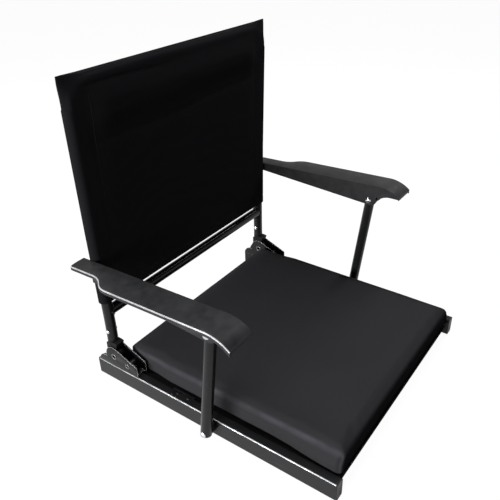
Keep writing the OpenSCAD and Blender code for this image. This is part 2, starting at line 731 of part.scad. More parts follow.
// The seam along the top stands out a little in the middle
top_bulge = 0.2;
sleeve_rings = concat(
    [for (k = [len(sleeve_top_turns) - 1 : -1 : 0]) let (t = sleeve_top_turns[k])
        sleeve_ring(top_tube_z + sleeve_in * sin(t), sleeve_in, sleeve_in * cos(t), -top_bulge)],
    [for (k = [len(sleeve_levels) - 1 : -1 : 0]) let (z = sleeve_z(sleeve_levels[k]))
        sleeve_ring(z, sleeve_in, sleeve_in, sleeve_pull(z))],
    [for (share = sleeve_levels) let (z = sleeve_z(share))
        sleeve_ring(z, sleeve_out, sleeve_out, sleeve_pull(z))],
    [for (t = sleeve_top_turns)
        sleeve_ring(top_tube_z + sleeve_out * sin(t), sleeve_out, sleeve_out * cos(t), -top_bulge)]
);
module back_sleeve() {
    color([0.04, 0.04, 0.045]) difference() {
        polyhedron([for (r = sleeve_rings) each r], ring_faces(len(sleeve_rings), sleeve_n), convexity = 6);
        for (m = [0, 1]) mirror([m, 0, 0])
            bar_x(bolt_d + 2 * slide_gap, upright_x(arm_pivot_z) + tube_r / 2, arm_in, tube_y, arm_pivot_z);
    }
}

// Armrest pivot on the upright: a bolt from inside the sleeve, a spacer and a nut inside the armrest.
// The bolt's end stands this far past its nut
bolt_over = 2;
module arm_pivot_bolt(s) {
    head_x = upright_x(arm_pivot_z) - tube_r;
    color([0.7, 0.7, 0.72]) on_side(s) {
        bar_x(bolt_d, head_x - weld, hollow_in + slide_gap + nut_h + bolt_over, tube_y, arm_pivot_z);
        difference() {
            bar_x(bolt_head_d, head_x - bolt_head_h, head_x + tube_r, tube_y, arm_pivot_z);
            upright_bar(tube_d + 2 * run_gap, arm_pivot_z - tube_d, arm_pivot_z + tube_d);
        }
    }
}

module arm_pivot_nut(s) {
    color([0.7, 0.7, 0.72]) on_side(s) translate([hollow_in + slide_gap, tube_y, arm_pivot_z])
        rotate([0, 90, 0]) difference() {
            rotate([0, 0, 30]) cylinder(r = nut_r, h = nut_h, $fn = 6);
            translate([0, 0, -cut]) cylinder(d = bolt_d + 2 * run_gap, h = nut_h + 2 * cut);
        }
}

// The spacer bridges the sleeve and the armrest
spacer_x = upright_x(arm_pivot_z) + tube_r + 2 * slide_gap + cloth_t;
spacer_d = 14;
module arm_spacer(s) {
    color([0.06, 0.06, 0.06]) on_side(s) difference() {
        bar_x(spacer_d, spacer_x, arm_in - slide_gap, tube_y, arm_pivot_z);
        bar_x(bolt_d + 2 * run_gap, spacer_x - cut, arm_in + cut, tube_y, arm_pivot_z);
    }
}

// Armrest

rear_corner = 5;
// The shoulder is two equal arcs that turn by the same angle, first in and then out
shoulder_step = arm_out - arm_rear_out;
shoulder_r = (shoulder_l * shoulder_l + shoulder_step * shoulder_step) / (4 * shoulder_step);
shoulder_turn = atan2(shoulder_l, 2 * shoulder_r - shoulder_step);
shoulder_front = shoulder_y - shoulder_l / 2;
shoulder_rear = shoulder_y + shoulder_l / 2;
shoulder_steps = 8;

// Outer edge in plan, drawn in by inset: along the wing, over the shoulder and round the rear corner
function arm_edge(inset) = concat(
    [[arm_out - inset, arm_tip_y]],
    arc([arm_out - shoulder_r, shoulder_front], shoulder_r - inset, 0, shoulder_turn, shoulder_steps),
    arc([arm_rear_out + shoulder_r, shoulder_rear], shoulder_r + inset,
        180 + shoulder_turn * (1 - 1 / shoulder_steps), 180, shoulder_steps - 1),
    arc([arm_rear_out - rear_corner, arm_rear_y - rear_corner], rear_corner - inset, 0, 90, 6),
    [[arm_in, arm_rear_y - inset]]
);

// Side view of the top's upper surface less depth, in Y and Z: a slope, then an arc down to the tip
curl_mid = [arm_curl_y - arm_curl_r * sin(arm_slope), arm_top_z - arm_curl_r * cos(arm_slope)];
curl_steps = 24;
function arm_surface(depth) = concat(
    [[arm_rear_y + cut, arm_line(arm_rear_y + cut) - depth / cos(arm_slope)]],
    arc(curl_mid, arm_curl_r - depth, 90 - arm_slope, 180, curl_steps),
    [[curl_mid[0] - arm_curl_r + depth, 0]]
);

// All that lies below the top's surface less depth
module arm_under(depth) {
    polygon(concat(arm_surface(depth), [[arm_rear_y + cut, 0]]));
}

// Layer of the armrest that follows its top, between two depths below it
module arm_layer(d0, d1) {
    polygon(concat(arm_surface(d0), backwards(arm_surface(d1))));
}

// Lower edge of the skirts: a straight line back from the round boss at the bolt, and a cove up to the tip
boss_r = 13.2;
// The boss stands a little in front of the bolt and above it
boss_shift = [-4.1, 4.7];
boss = [strut_top_y, strut_top_z] + boss_shift;
cove_r = 30;
// Depth of the skirt at the tip, below the line of the top
tip_depth = 18;
cove_z = arm_line(arm_tip_y) - tip_depth;
cove = [boss[0] - sqrt(pow(boss_r + cove_r, 2) - pow(cove_z - cove_r - boss[1], 2)), cove_z - cove_r];
heel_r = 9;
// The heel stands behind the armrest's pivot and a little above it
heel_shift = [6, 4];
heel = [tube_y, arm_pivot_z] + heel_shift;
// The skirt's rear edge leans back from the heel, and ends this far in front of the armrest's rear edge
heel_in = 1;
module skirt_side() {
    run = heel - boss;
    turn = atan2(run[1], run[0]) + asin((boss_r - heel_r) / norm(run)) - 90;
    meet = atan2(cove[1] - boss[1], cove[0] - boss[0]);
    polygon(concat(
        arc(heel, heel_r, turn, 0, 8),
        [[arm_rear_y - heel_in, arm_top_z], [arm_tip_y + weld, arm_top_z], [arm_tip_y + weld, cove_z]],
        arc(cove, cove_r, 90, meet + 180, 8),
        arc(boss, boss_r, meet + (turn - meet) / 8, turn, 7)
    ));
}

// The skirts, lip, ribs and rear wall run up into the top by half of its thickness
sink = arm_t / 2;

// Skirt between x0 and x1, cut off under the armrest's top surface and behind rear_y
module skirt(x0, x1, rear_y) {
    along_x(x0, x1) intersection() {
        skirt_side();
        arm_under(sink);
        translate([arm_tip_y - cut, 0]) square([rear_y - arm_tip_y + cut, 2 * arm_top_z]);
    }
}

// Wall that closes the hollow for the strut, behind the shoulder
rear_wall_step = 7;
rear_wall_y = shoulder_rear + rear_wall_step;
// Ribs under the wing, from the front curve to the shoulder
rib_n = 4;
rib_first = arm_curl_y + 14;
rib_last = shoulder_front - 11.5;
rib_ys = [for (k = [0 : rib_n - 1]) rib_first + (rib_last - rib_first) * k / (rib_n - 1)];
// Moulded locating hole beside the bolt
locate_d = 5;
locate = [strut_top_y - 16.5, strut_top_z + 7.7];
module armrest(s) {
    color([0.08, 0.08, 0.085]) on_side(s) difference() {
        union() {
            intersection() {
                along_x(arm_in, arm_out) arm_layer(0, arm_t);
                linear_extrude(2 * arm_top_z) polygon(concat([[arm_in, arm_tip_y]], arm_edge(0)));
            }
            intersection() {
                along_x(arm_in, arm_out) arm_layer(sink, lip_h);
                linear_extrude(2 * arm_top_z) polygon(concat(arm_edge(0), backwards(arm_edge(skirt_t))));
            }
            skirt(arm_in, hollow_in, arm_rear_y + cut);
            skirt(hollow_out, skirt_out, rear_wall_y);
            along_x(hollow_in - weld, hollow_out + weld) intersection() {
                translate([rear_wall_y - rib_t, 0]) square([rib_t, 2 * arm_top_z]);
                skirt_side();
                arm_under(sink);
            }
            for (y = rib_ys) along_x(arm_in + weld, arm_out - skirt_t / 2) intersection() {
                translate([y, 0]) square([rib_t, 2 * arm_top_z]);
                arm_layer(sink, lip_h);
            }
        }
        bar_x(bolt_d + 2 * run_gap, arm_in - cut, hollow_in + cut, tube_y, arm_pivot_z);
        bar_x(bolt_d + 2 * run_gap, arm_in - cut, skirt_out + cut, strut_top_y, strut_top_z);
        bar_x(locate_d, arm_in - cut, hollow_in + cut, locate[0], locate[1]);
    }
}

// Bolt through both skirts and the strut, with a domed head outside and a domed nut inside
bolt_in_nut = 1;
module strut_bolt(s) {
    color([0.8, 0.8, 0.82]) on_side(s) {
        bar_x(bolt_d, arm_in - bolt_in_nut, skirt_out + weld, strut_top_y, strut_top_z);
        dome_x(bolt_head_d, bolt_head_h, skirt_out, strut_top_y, strut_top_z, 1);
    }
}

module strut_bolt_nut(s) {
    color([0.8, 0.8, 0.82]) on_side(s) difference() {
        dome_x(bolt_head_d, bolt_head_h, arm_in, strut_top_y, strut_top_z, -1);
        bar_x(bolt_d + 2 * run_gap, arm_in - bolt_in_nut - run_gap, arm_in + cut, strut_top_y, strut_top_z);
    }
}

// Strut

strut_run = [strut_foot_y - strut_top_y, strut_foot_z - strut_top_z];
strut_len = norm(strut_run);
strut_lean = atan2(strut_run[0], -strut_run[1]);
strut_over = 4.5;
strut_dome = 4.6;
// Places children along the strut: the foot rivet is at the origin and the top bolt at strut_len up Z
module on_strut() {
    translate([strut_x, strut_foot_y, strut_foot_z]) rotate([strut_lean, 0, 0]) children();
}

module strut(s) {
    color([0.12, 0.12, 0.13]) on_side(s) difference() {
        on_strut() translate([0, 0, -strut_over]) difference() {
            cylinder(d = strut_d, h = strut_len + 2 * strut_over);
            translate([0, 0, -cut])
                cylinder(d = strut_d - 2 * tube_wall, h = strut_len + 2 * (strut_over + cut));
        }
        bar_x(bolt_d + 2 * run_gap, arm_in, arm_out, strut_top_y, strut_top_z);
        bar_x(bolt_d + 2 * run_gap, rail_x, arm_out, strut_foot_y, strut_foot_z);
    }
}

// Domed plastic plugs in the strut's ends, drilled for the bolt and the rivet
plug_l = 14;
module strut_plug() {
    plug_r = strut_d / 2 - tube_wall - fit_gap;
    dome_r = (strut_d * strut_d / 4 + strut_dome * strut_dome) / (2 * strut_dome);
    intersection() {
        translate([0, 0, -strut_over - strut_dome + dome_r]) sphere(r = dome_r);
        translate([0, 0, -strut_over - strut_dome - cut]) cylinder(d = 2 * strut_d, h = strut_dome + cut);
    }
    translate([0, 0, -strut_over - weld]) cylinder(r = plug_r, h = plug_l + weld);
}

module strut_plugs(s) {
    color([0.05, 0.05, 0.05]) on_side(s) difference() {
        on_strut() {
            strut_plug();
            translate([0, 0, strut_len]) mirror([0, 0, 1]) strut_plug();
        }
        bar_x(bolt_d + 2 * run_gap, arm_in, arm_out, strut_top_y, strut_top_z);
        bar_x(bolt_d + 2 * run_gap, rail_x, arm_out, strut_foot_y, strut_foot_z);
    }
}

// Foot rivet: a domed head outside the strut and a shank that ends inside the rail's oversized hole
strut_face = strut_x + strut_d / 2;
module foot_rivet(s) {
    color([0.8, 0.8, 0.82]) on_side(s) {
        bar_x(bolt_d, seat_w / 2 - rail_wall, strut_face + cut, strut_foot_y, strut_foot_z);
        dome_x(bolt_head_d, bolt_head_h, strut_face, strut_foot_y, strut_foot_z, 1);
    }
}

// Spacer between strut and rail: its outer end is coped to the strut
module foot_spacer(s) {
    color([0.06, 0.06, 0.06]) on_side(s) difference() {
        bar_x(foot_spacer_d, seat_w / 2 + slide_gap, strut_x, strut_foot_y, strut_foot_z);
        bar_x(bolt_d + 2 * run_gap, seat_w / 2 - cut, strut_x + cut, strut_foot_y, strut_foot_z);
        on_strut() translate([0, 0, -strut_d]) cylinder(d = strut_d + fit_gap, h = 2 * strut_d);
    }
}

rail(1);  // rail_left
rail(-1);  // rail_right
rail_caps(1);  // rail_caps_left
rail_caps(-1);  // rail_caps_right
crossbar(bar_front_y);  // crossbar_front
crossbar(bar_rear_y);  // crossbar_rear
middle_strap();
strap_rivets(1);  // strap_rivets_left
strap_rivets(-1);  // strap_rivets_right
seat_board();
board_screws();
seat_cushion();
hinge_bracket(1);  // hinge_bracket_left
hinge_bracket(-1);  // hinge_bracket_right
bracket_rivets(1);  // bracket_rivets_left
bracket_rivets(-1);  // bracket_rivets_right
hinge_pivot(1);  // hinge_pivot_left
hinge_pivot(-1);  // hinge_pivot_right
stop_pin(1);  // stop_pin_left
stop_pin(-1);  // stop_pin_right
stop_sleeve(1);  // stop_sleeve_left
stop_sleeve(-1);  // stop_sleeve_right
upright(1);  // upright_left
upright(-1);  // upright_right
knuckle(1);  // knuckle_left
knuckle(-1);  // knuckle_right
knuckle_rivet(1);  // knuckle_rivet_left
knuckle_rivet(-1);  // knuckle_rivet_right
top_tube();
low_crossbar();
back_sleeve();
arm_pivot_bolt(1);  // arm_pivot_bolt_left
arm_pivot_bolt(-1);  // arm_pivot_bolt_right
arm_pivot_nut(1);  // arm_pivot_nut_left
arm_pivot_nut(-1);  // arm_pivot_nut_right
arm_spacer(1);  // arm_spacer_left
arm_spacer(-1);  // arm_spacer_right
armrest(1);  // armrest_left
armrest(-1);  // armrest_right
strut_bolt(1);  // strut_bolt_left
strut_bolt(-1);  // strut_bolt_right
strut_bolt_nut(1);  // strut_bolt_nut_left
strut_bolt_nut(-1);  // strut_bolt_nut_right
strut(1);  // strut_left
strut(-1);  // strut_right
strut_plugs(1);  // strut_plugs_left
strut_plugs(-1);  // strut_plugs_right
foot_rivet(1);  // foot_rivet_left
foot_rivet(-1);  // foot_rivet_right
foot_spacer(1);  // foot_spacer_left
foot_spacer(-1);  // foot_spacer_right
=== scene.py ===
import json
import math

import bmesh
import bpy
from mathutils import Matrix, Vector, noise


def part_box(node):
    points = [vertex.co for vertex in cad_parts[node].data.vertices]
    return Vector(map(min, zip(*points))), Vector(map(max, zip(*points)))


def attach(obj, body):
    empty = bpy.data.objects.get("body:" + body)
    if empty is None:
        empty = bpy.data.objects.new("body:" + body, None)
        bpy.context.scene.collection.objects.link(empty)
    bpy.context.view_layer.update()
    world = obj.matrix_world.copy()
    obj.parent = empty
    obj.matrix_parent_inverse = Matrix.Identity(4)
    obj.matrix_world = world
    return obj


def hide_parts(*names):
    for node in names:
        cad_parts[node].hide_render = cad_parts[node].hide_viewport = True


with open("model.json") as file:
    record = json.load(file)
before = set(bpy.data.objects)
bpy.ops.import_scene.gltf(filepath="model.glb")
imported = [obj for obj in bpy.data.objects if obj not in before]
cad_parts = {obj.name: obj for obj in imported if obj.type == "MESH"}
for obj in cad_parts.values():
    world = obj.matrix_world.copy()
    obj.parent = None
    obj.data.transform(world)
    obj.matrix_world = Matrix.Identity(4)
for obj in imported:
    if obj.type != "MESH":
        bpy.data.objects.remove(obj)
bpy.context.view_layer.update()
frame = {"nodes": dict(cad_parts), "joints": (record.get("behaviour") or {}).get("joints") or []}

# Camera. The photograph looks down on the seat from its right front corner, a hair askew.
# The lens is given for a 36 mm sensor, and the place is in metres from the middle of the rails.
camera_lens = 42.8
camera_film = 36
camera_at = (-0.7102, -0.4524, 0.7127)
camera_turn = math.radians(-53.87)
camera_tilt = math.radians(59.32)
camera_roll = math.radians(-1.49)
bpy.ops.object.camera_add()
camera = bpy.context.object
camera.data.lens = camera_lens
camera.data.sensor_width = camera_film
camera.matrix_world = (
    Matrix.Translation(camera_at)
    @ Matrix.Rotation(camera_turn, 4, "Z")
    @ Matrix.Rotation(camera_tilt, 4, "X")
    @ Matrix.Rotation(camera_roll, 4, "Z")
)
bpy.context.scene.camera = camera
bpy.context.scene.view_settings.view_transform = "Standard"

# Floor. A wide round sheet of white paper, swept up at its rim so that it is also the backdrop.
# The camera and glossy paint see it as plain white, a little dimmer where the seat's shadow lies.
floor_r = 14
floor_rise = 5
floor_sweep = 3
floor_rim_edge = 2
paper_lit = (0.16, 0.16, 0.16, 1)
paper_seen = (0.07, 0.07, 0.07, 1)
paper_glow = 0.965


def add(tree, kind, inputs=None, **settings):
    """Adds a node. Each input takes a plain value or another node's output."""
    node = tree.nodes.new("ShaderNode" + kind)
    for name, value in settings.items():
        setattr(node, name, value)
    for name, value in (inputs or {}).items():
        if isinstance(value, bpy.types.NodeSocket):
            tree.links.new(value, node.inputs[name])
        else:
            node.inputs[name].default_value = value
    return node


def begin(name, primitive, **sizes):
    """Adds a primitive by itself in the selection, named, with its place in its mesh."""
    bpy.ops.object.select_all(action="DESELECT")
    primitive(**sizes)
    piece = bpy.context.object
    piece.name = piece.data.name = name
    bpy.ops.object.transform_apply(location=True, rotation=True, scale=True)
    return piece


def pick(piece, kind, test):
    """In edit mode, selects only the vertices, edges or faces that pass the test."""
    bpy.ops.mesh.select_mode(type={"verts": "VERT", "edges": "EDGE", "faces": "FACE"}[kind])
    bpy.ops.mesh.select_all(action="DESELECT")
    shape = bmesh.from_edit_mesh(piece.data)
    for part in getattr(shape, kind):
        if test(part):
            part.select_set(True)
    shape.select_flush_mode()
    bmesh.update_edit_mesh(piece.data)


floor = begin("floor", bpy.ops.mesh.primitive_circle_add, vertices=96, radius=floor_r, fill_type="NGON")
bpy.ops.object.mode_set(mode="EDIT")
pick(floor, "edges", lambda edge: True)
bpy.ops.mesh.extrude_edges_move(TRANSFORM_OT_translate={"value": (0, 0, floor_rise)})
pick(floor, "edges", lambda edge: max(v.co.z for v in edge.verts) < floor_rise / 2
     and edge.calc_length() < floor_rim_edge)
bpy.ops.mesh.bevel(offset=floor_sweep, segments=10, affect="EDGES")
bpy.ops.mesh.select_all(action="SELECT")
bpy.ops.mesh.normals_make_consistent(inside=True)
bpy.ops.object.mode_set(mode="OBJECT")
bpy.ops.object.shade_smooth()
paper = bpy.data.materials.new("white_paper")
paper.use_nodes = True
tree = paper.node_tree
tree.nodes.clear()
ray = add(tree, "LightPath").outputs
seen = add(tree, "Math", {0: ray["Is Camera Ray"], 1: ray["Is Glossy Ray"]}, operation="MAXIMUM")
seen = add(tree, "Math", {0: seen.outputs[0], 1: ray["Is Transmission Ray"]}, operation="MAXIMUM")
glow = add(tree, "Emission", {"Color": (1, 1, 1, 1), "Strength": paper_glow})
thin = add(tree, "BsdfDiffuse", {"Color": paper_seen})
bright = add(tree, "AddShader", {0: glow.outputs[0], 1: thin.outputs[0]})
lit = add(tree, "BsdfDiffuse", {"Color": paper_lit})
both = add(tree, "MixShader", {0: seen.outputs[0], 1: lit.outputs[0], 2: bright.outputs[0]})
add(tree, "OutputMaterial", {"Surface": both.outputs[0]})
floor.data.materials.append(paper)

# Light. A broad window low on the sitter's right, a panel high behind the back and a strip high on the
# sitter's left, whose reflections draw light lines along the edges and tubes, and a dim grey room.
seat_middle = Vector((0, 0, 0.2))
room_grey = (0.06, 0.062, 0.066, 1)


def softbox(name, at, width, height, watts):
    """A rectangular lamp that faces the middle of the seat."""
    bpy.ops.object.light_add(type="AREA", location=at)
    lamp = bpy.context.object
    lamp.name = name
    lamp.data.shape = "RECTANGLE"
    lamp.data.size = width
    lamp.data.size_y = height
    lamp.data.energy = watts
    lamp.rotation_euler = (seat_middle - Vector(at)).to_track_quat("-Z", "Y").to_euler()


softbox("window", (-2.5, 0.35, 0.62), 1.8, 1.0, 96)
softbox("rear_panel", (-0.3, 1.1, 1.85), 1.7, 0.8, 27)
softbox("left_strip", (1.15, -0.12, 1.7), 0.35, 1.4, 20)
room = bpy.data.worlds.new("grey_room")
room.use_nodes = True
room.node_tree.nodes["Background"].inputs["Color"].default_value = room_grey
bpy.context.scene.world = room

# Rails. Two rectangular steel tubes, powder-coated satin black after drilling. Handling has left long, fine
# scratches along them. Their upper outer edges carry a painted highlight, a band of pale, half-metallic colour.
rail_black = (0.0125, 0.0127, 0.0135, 1)
rail_scuff = (0.04, 0.04, 0.042, 1)
# The painted highlight on the rails' upper outer edges: its width, its pale colour, its metal and its patch
# size.
rail_highlight_width = 0.0018
highlight_grey = (0.6, 0.61, 0.63, 1)
highlight_metal = 0.5
highlight_patch_size = 30
edge_soft = 0.0007
coat_pale = 1.25
coat_worn_size = 16
coat_mottle_size = 40
coat_gloss_size = 26
coat_scratch_size = 420
coat_scratch_rare = (0.66, 0.72)
coat_peel_size = 620
coat_peel = 0.00003


def new_finish(name):
    """A new material: itself, its tree, its shader and the place of a point on the object."""
    finish = bpy.data.materials.new(name)
    finish.use_nodes = True
    tree = finish.node_tree
    tree.nodes.clear()
    shader = add(tree, "BsdfPrincipled")
    add(tree, "OutputMaterial", {"Surface": shader.outputs[0]})
    return finish, tree, shader, add(tree, "TexCoord").outputs["Object"]


def clouds(tree, place, scale, low, high, detail=3.0, edge=0.2):
    """Noise that runs from low to high. The smaller the edge, the sharper its patches."""
    cloud = add(tree, "TexNoise", {"Vector": place, "Scale": scale, "Detail": detail})
    spread = {"From Min": 0.5 - edge, "From Max": 0.5 + edge, "To Min": low, "To Max": high}
    return add(tree, "MapRange", {"Value": cloud.outputs[0], **spread}).outputs[0]


def specks(tree, place, scale, start, end):
    """Rare spots or streaks: only the peaks of a noise, from 0 at start to 1 at end."""
    cloud = add(tree, "TexNoise", {"Vector": place, "Scale": scale, "Detail": 2})
    return add(tree, "MapRange", {"Value": cloud.outputs[0], "From Min": start, "From Max": end}).outputs[0]


def tinted(colour, times):
    """A colour made lighter or darker."""
    return tuple(channel * times for channel in colour[:3]) + (1,)


def stretched(tree, place, stretch):
    """The place of a point, drawn out along the axes whose number is small."""
    return add(tree, "Mapping", {"Vector": place, "Scale": stretch}).outputs[0]


def product(tree, a, b):
    """Two masks as one."""
    return add(tree, "Math", {0: a, 1: b}, operation="MULTIPLY").outputs[0]


def mixed(tree, amount, low, high):
    """One colour over another, by a mask."""
    node = add(tree, "Mix", data_type="RGBA")
    for number, value in ((0, amount), (6, low), (7, high)):
        if isinstance(value, bpy.types.NodeSocket):
            tree.links.new(value, node.inputs[number])
        else:
            node.inputs[number].default_value = value
    return node.outputs[2]


def relief(tree, shader, height, depth):
    """Raises a surface by height times depth."""
    bump = add(tree, "Bump", {"Height": height, "Distance": depth})
    tree.links.new(bump.outputs[0], shader.inputs["Normal"])


def powder_coat(name, black, scuff, along, rough=0.22, gloss=0.16, edge=None):
    """Satin powder coat: orange peel, uneven gloss, scratches along the tube, and a painted highlight along an
    edge.
    The edge is where the distance from the middle plane and the height both pass a limit."""
    finish, tree, shader, place = new_finish(name)
    shader.inputs["Specular IOR Level"].default_value = gloss
    lines = specks(tree, stretched(tree, place, along), coat_scratch_size, *coat_scratch_rare)
    worn = product(tree, lines, clouds(tree, place, coat_worn_size, 0, 0.6, edge=0.12))
    tone = mixed(tree, clouds(tree, place, coat_mottle_size, 0, 1), black, tinted(black, coat_pale))
    tone = mixed(tree, worn, tone, scuff)
    if edge:
        # Painted highlight: pale colour and half metal where both edge limits are passed, broken into patches.
        axes = add(tree, "SeparateXYZ", {"Vector": place}).outputs
        out = add(tree, "Math", {0: axes[0]}, operation="ABSOLUTE").outputs[0]
        rim = clouds(tree, place, highlight_patch_size, 0.55, 1, edge=0.1)
        for value, limit in ((out, edge[0]), (axes[2], edge[1])):
            past = {"Value": value, "From Min": limit, "From Max": limit + edge_soft}
            rim = product(tree, rim, add(tree, "MapRange", past).outputs[0])
        tone = mixed(tree, rim, tone, highlight_grey)
        tree.links.new(product(tree, rim, highlight_metal), shader.inputs["Metallic"])
    tree.links.new(tone, shader.inputs["Base Color"])
    gloss_patches = clouds(tree, place, coat_gloss_size, rough - 0.03, rough + 0.07)
    tree.links.new(gloss_patches, shader.inputs["Roughness"])
    relief(tree, shader, clouds(tree, place, coat_peel_size, 0, 1, detail=1), coat_peel)
    return finish


def dress(finish, *names):
    """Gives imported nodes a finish."""
    for name in names:
        for spot in frame["nodes"][name].material_slots:
            spot.material = finish


rail_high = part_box("rail_left")[1]
rail_edge = (rail_high.x - rail_highlight_width, rail_high.z - rail_highlight_width)
rail_coat = powder_coat("rail_powder_coat", rail_black, rail_scuff, (1, 0.03, 1), edge=rail_edge)
dress(rail_coat, "rail_left", "rail_right")

# Rail end caps. Closures moulded in soft black plastic and pushed into the rails' ends, each with a rounded
# rim round a shallow dish.
cap_black = (0.009, 0.009, 0.0095, 1)
plastic_pale = 1.45
plastic_rubbed = 2.2
plastic_rub_size = 34
plastic_wear_size = 7
plastic_flow_size = 90
plastic_gloss_size = 45
cap_round = 0.0009
cap_rim = 0.0022
cap_dish = 0.0005


def moulded(name, black, grain, depth, rough, gloss=0.2):
    """Moulded plastic: a fine spark-eroded grain, flow marks and dull rub marks."""
    finish, tree, shader, place = new_finish(name)
    shader.inputs["Specular IOR Level"].default_value = gloss
    marks = clouds(tree, place, plastic_rub_size, 0, 1, edge=0.1)
    rubbed = product(tree, marks, clouds(tree, place, plastic_wear_size, 0, 0.8, edge=0.1))
    tone = mixed(tree, clouds(tree, place, plastic_flow_size, 0, 1), black, tinted(black, plastic_pale))
    tree.links.new(mixed(tree, rubbed, tone, tinted(black, plastic_rubbed)), shader.inputs["Base Color"])
    gloss_patches = clouds(tree, place, plastic_gloss_size, rough - 0.05, rough + 0.09)
    tree.links.new(gloss_patches, shader.inputs["Roughness"])
    relief(tree, shader, clouds(tree, place, grain, 0, 1, detail=2), depth)
    return finish


def copied(node, name, join=0.00002):
    """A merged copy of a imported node, with flat faces whole again, for a piece that stands for the node."""
    bpy.ops.object.select_all(action="DESELECT")
    piece = bpy.data.objects.new(name, frame["nodes"][node].data.copy())
    bpy.context.scene.collection.objects.link(piece)
    piece.data.materials.clear()
    piece.select_set(True)
    bpy.context.view_layer.objects.active = piece
    bpy.ops.mesh.customdata_custom_splitnormals_clear()
    bpy.ops.object.mode_set(mode="EDIT")
    bpy.ops.mesh.select_all(action="SELECT")
    bpy.ops.mesh.remove_doubles(threshold=join)
    bpy.ops.mesh.dissolve_limited(angle_limit=math.radians(0.6))
    bpy.ops.mesh.normals_make_consistent(inside=False)
    bpy.ops.object.mode_set(mode="OBJECT")
    return piece


def rounded(piece, width, segments=3, sharp=32, finish=-1):
    """Rounds every edge that turns by more than sharp degrees, and shades the rest smooth. The rounding may
    take a finish of its own, by its number on the piece."""
    bpy.ops.object.select_all(action="DESELECT")
    piece.select_set(True)
    bpy.context.view_layer.objects.active = piece
    bevel = piece.modifiers.new("rounding", "BEVEL")
    bevel.width = width
    bevel.segments = segments
    bevel.limit_method = "ANGLE"
    bevel.angle_limit = math.radians(sharp)
    bevel.material = finish
    bpy.ops.object.modifier_apply(modifier=bevel.name)
    bpy.ops.object.shade_smooth_by_angle(angle=math.radians(40))


def stands_for(piece, body, slot, finish, *nodes):
    """Gives a new piece its finish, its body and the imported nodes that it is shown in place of."""
    if not piece.data.materials:
        piece.data.materials.append(finish)
    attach(piece, body)
    if nodes:
        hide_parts(*nodes)


cap_plastic = moulded("cap_plastic", cap_black, 1500, 0.00003, 0.46)
for side in ("left", "right"):
    caps = copied("rail_caps_" + side, "end_caps_" + side)
    low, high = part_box("rail_caps_" + side)
    bpy.ops.object.mode_set(mode="EDIT")
    for end in (low.y, high.y):
        pick(caps, "faces", lambda face: abs(face.calc_center_median().y - end) < 1e-5)
        bpy.ops.mesh.inset(thickness=cap_rim)
        bpy.ops.transform.translate(value=(0, cap_dish if end < 0 else -cap_dish, 0))
    bpy.ops.object.mode_set(mode="OBJECT")
    rounded(caps, cap_round)
    stands_for(caps, "seat_frame", "cap_plastic", cap_plastic, "rail_caps_" + side)

# Crossbars. Two square tubes under the board, coated together with the rails after welding. A bead of weld
# runs round each end where it meets the rail.
bead_r = 0.0015
bead_start_r = 0.01
bead_wave = 0.14
bead_waves = 22
bar_coat = powder_coat("crossbar_powder_coat", rail_black, rail_scuff, (0.03, 1, 1))
dress(bar_coat, "crossbar_front", "crossbar_rear")


def weld_bead(name, middle, path):
    """A rippled bead round the end of a bar along X. path gives its middle line at an angle."""
    bead = begin(name, bpy.ops.mesh.primitive_torus_add, major_segments=96, minor_segments=8, location=middle,
                 rotation=(0, math.radians(90), 0), major_radius=bead_start_r, minor_radius=bead_r)
    for vertex in bead.data.vertices:
        off = vertex.co - middle
        angle = math.atan2(off.z, off.y)
        ring = Vector((0, math.cos(angle), math.sin(angle)))
        ripple = 1 + bead_wave * math.sin(bead_waves * angle)
        vertex.co = middle + path(angle) + (off - ring * bead_start_r) * ripple
    bpy.ops.object.shade_smooth()
    return bead


def square_path(angle):
    """The outline of a square bar with slightly round corners."""
    along = Vector((0, math.cos(angle), math.sin(angle)))
    return along * (bar_half / (abs(along.y) ** 8 + abs(along.z) ** 8) ** 0.125)


for end in ("front", "rear"):
    low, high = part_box("crossbar_" + end)
    bar_half = (high.z - low.z) / 2
    for side, x in (("left", high.x), ("right", low.x)):
        middle = Vector((x, (low.y + high.y) / 2, (low.z + high.z) / 2))
        bead = weld_bead(f"weld_{end}_{side}", middle, square_path)
        stands_for(bead, "seat_frame", "frame_paint", bar_coat)

# Middle strap and its blind rivets. A plain zinc-plated strap that stiffens the board, and aluminium rivets
# whose low heads were painted over with the rails.
strap_grey = (0.16, 0.162, 0.17, 1)
rivet_black = (0.014, 0.014, 0.015, 1)
rivet_scuff = (0.16, 0.16, 0.16, 1)
dull = 0.6
dull_size = 120
plating_gloss_size = 300
brush_size = 1800
brush_deep = 0.00002


def bright_metal(name, colour, rough, brush=(1, 1, 1)):
    """Plated or bare metal: faint brushing and dull stains."""
    finish, tree, shader, place = new_finish(name)
    tone = mixed(tree, clouds(tree, place, dull_size, 0, 1), tinted(colour, dull), colour)
    tree.links.new(tone, shader.inputs["Base Color"])
    gloss_patches = clouds(tree, place, plating_gloss_size, rough - 0.05, rough + 0.1)
    tree.links.new(gloss_patches, shader.inputs["Roughness"])
    shader.inputs["Metallic"].default_value = 1
    lines = clouds(tree, stretched(tree, place, brush), brush_size, 0, 1, detail=1)
    relief(tree, shader, lines, brush_deep)
    return finish


dress(bright_metal("zinc_strap", strap_grey, 0.38, (0.05, 1, 1)), "middle_strap")
painted_rivet = powder_coat("painted_rivet", rivet_black, rivet_scuff, (1, 1, 1), rough=0.2)
dress(painted_rivet, "strap_rivets_left", "strap_rivets_right")

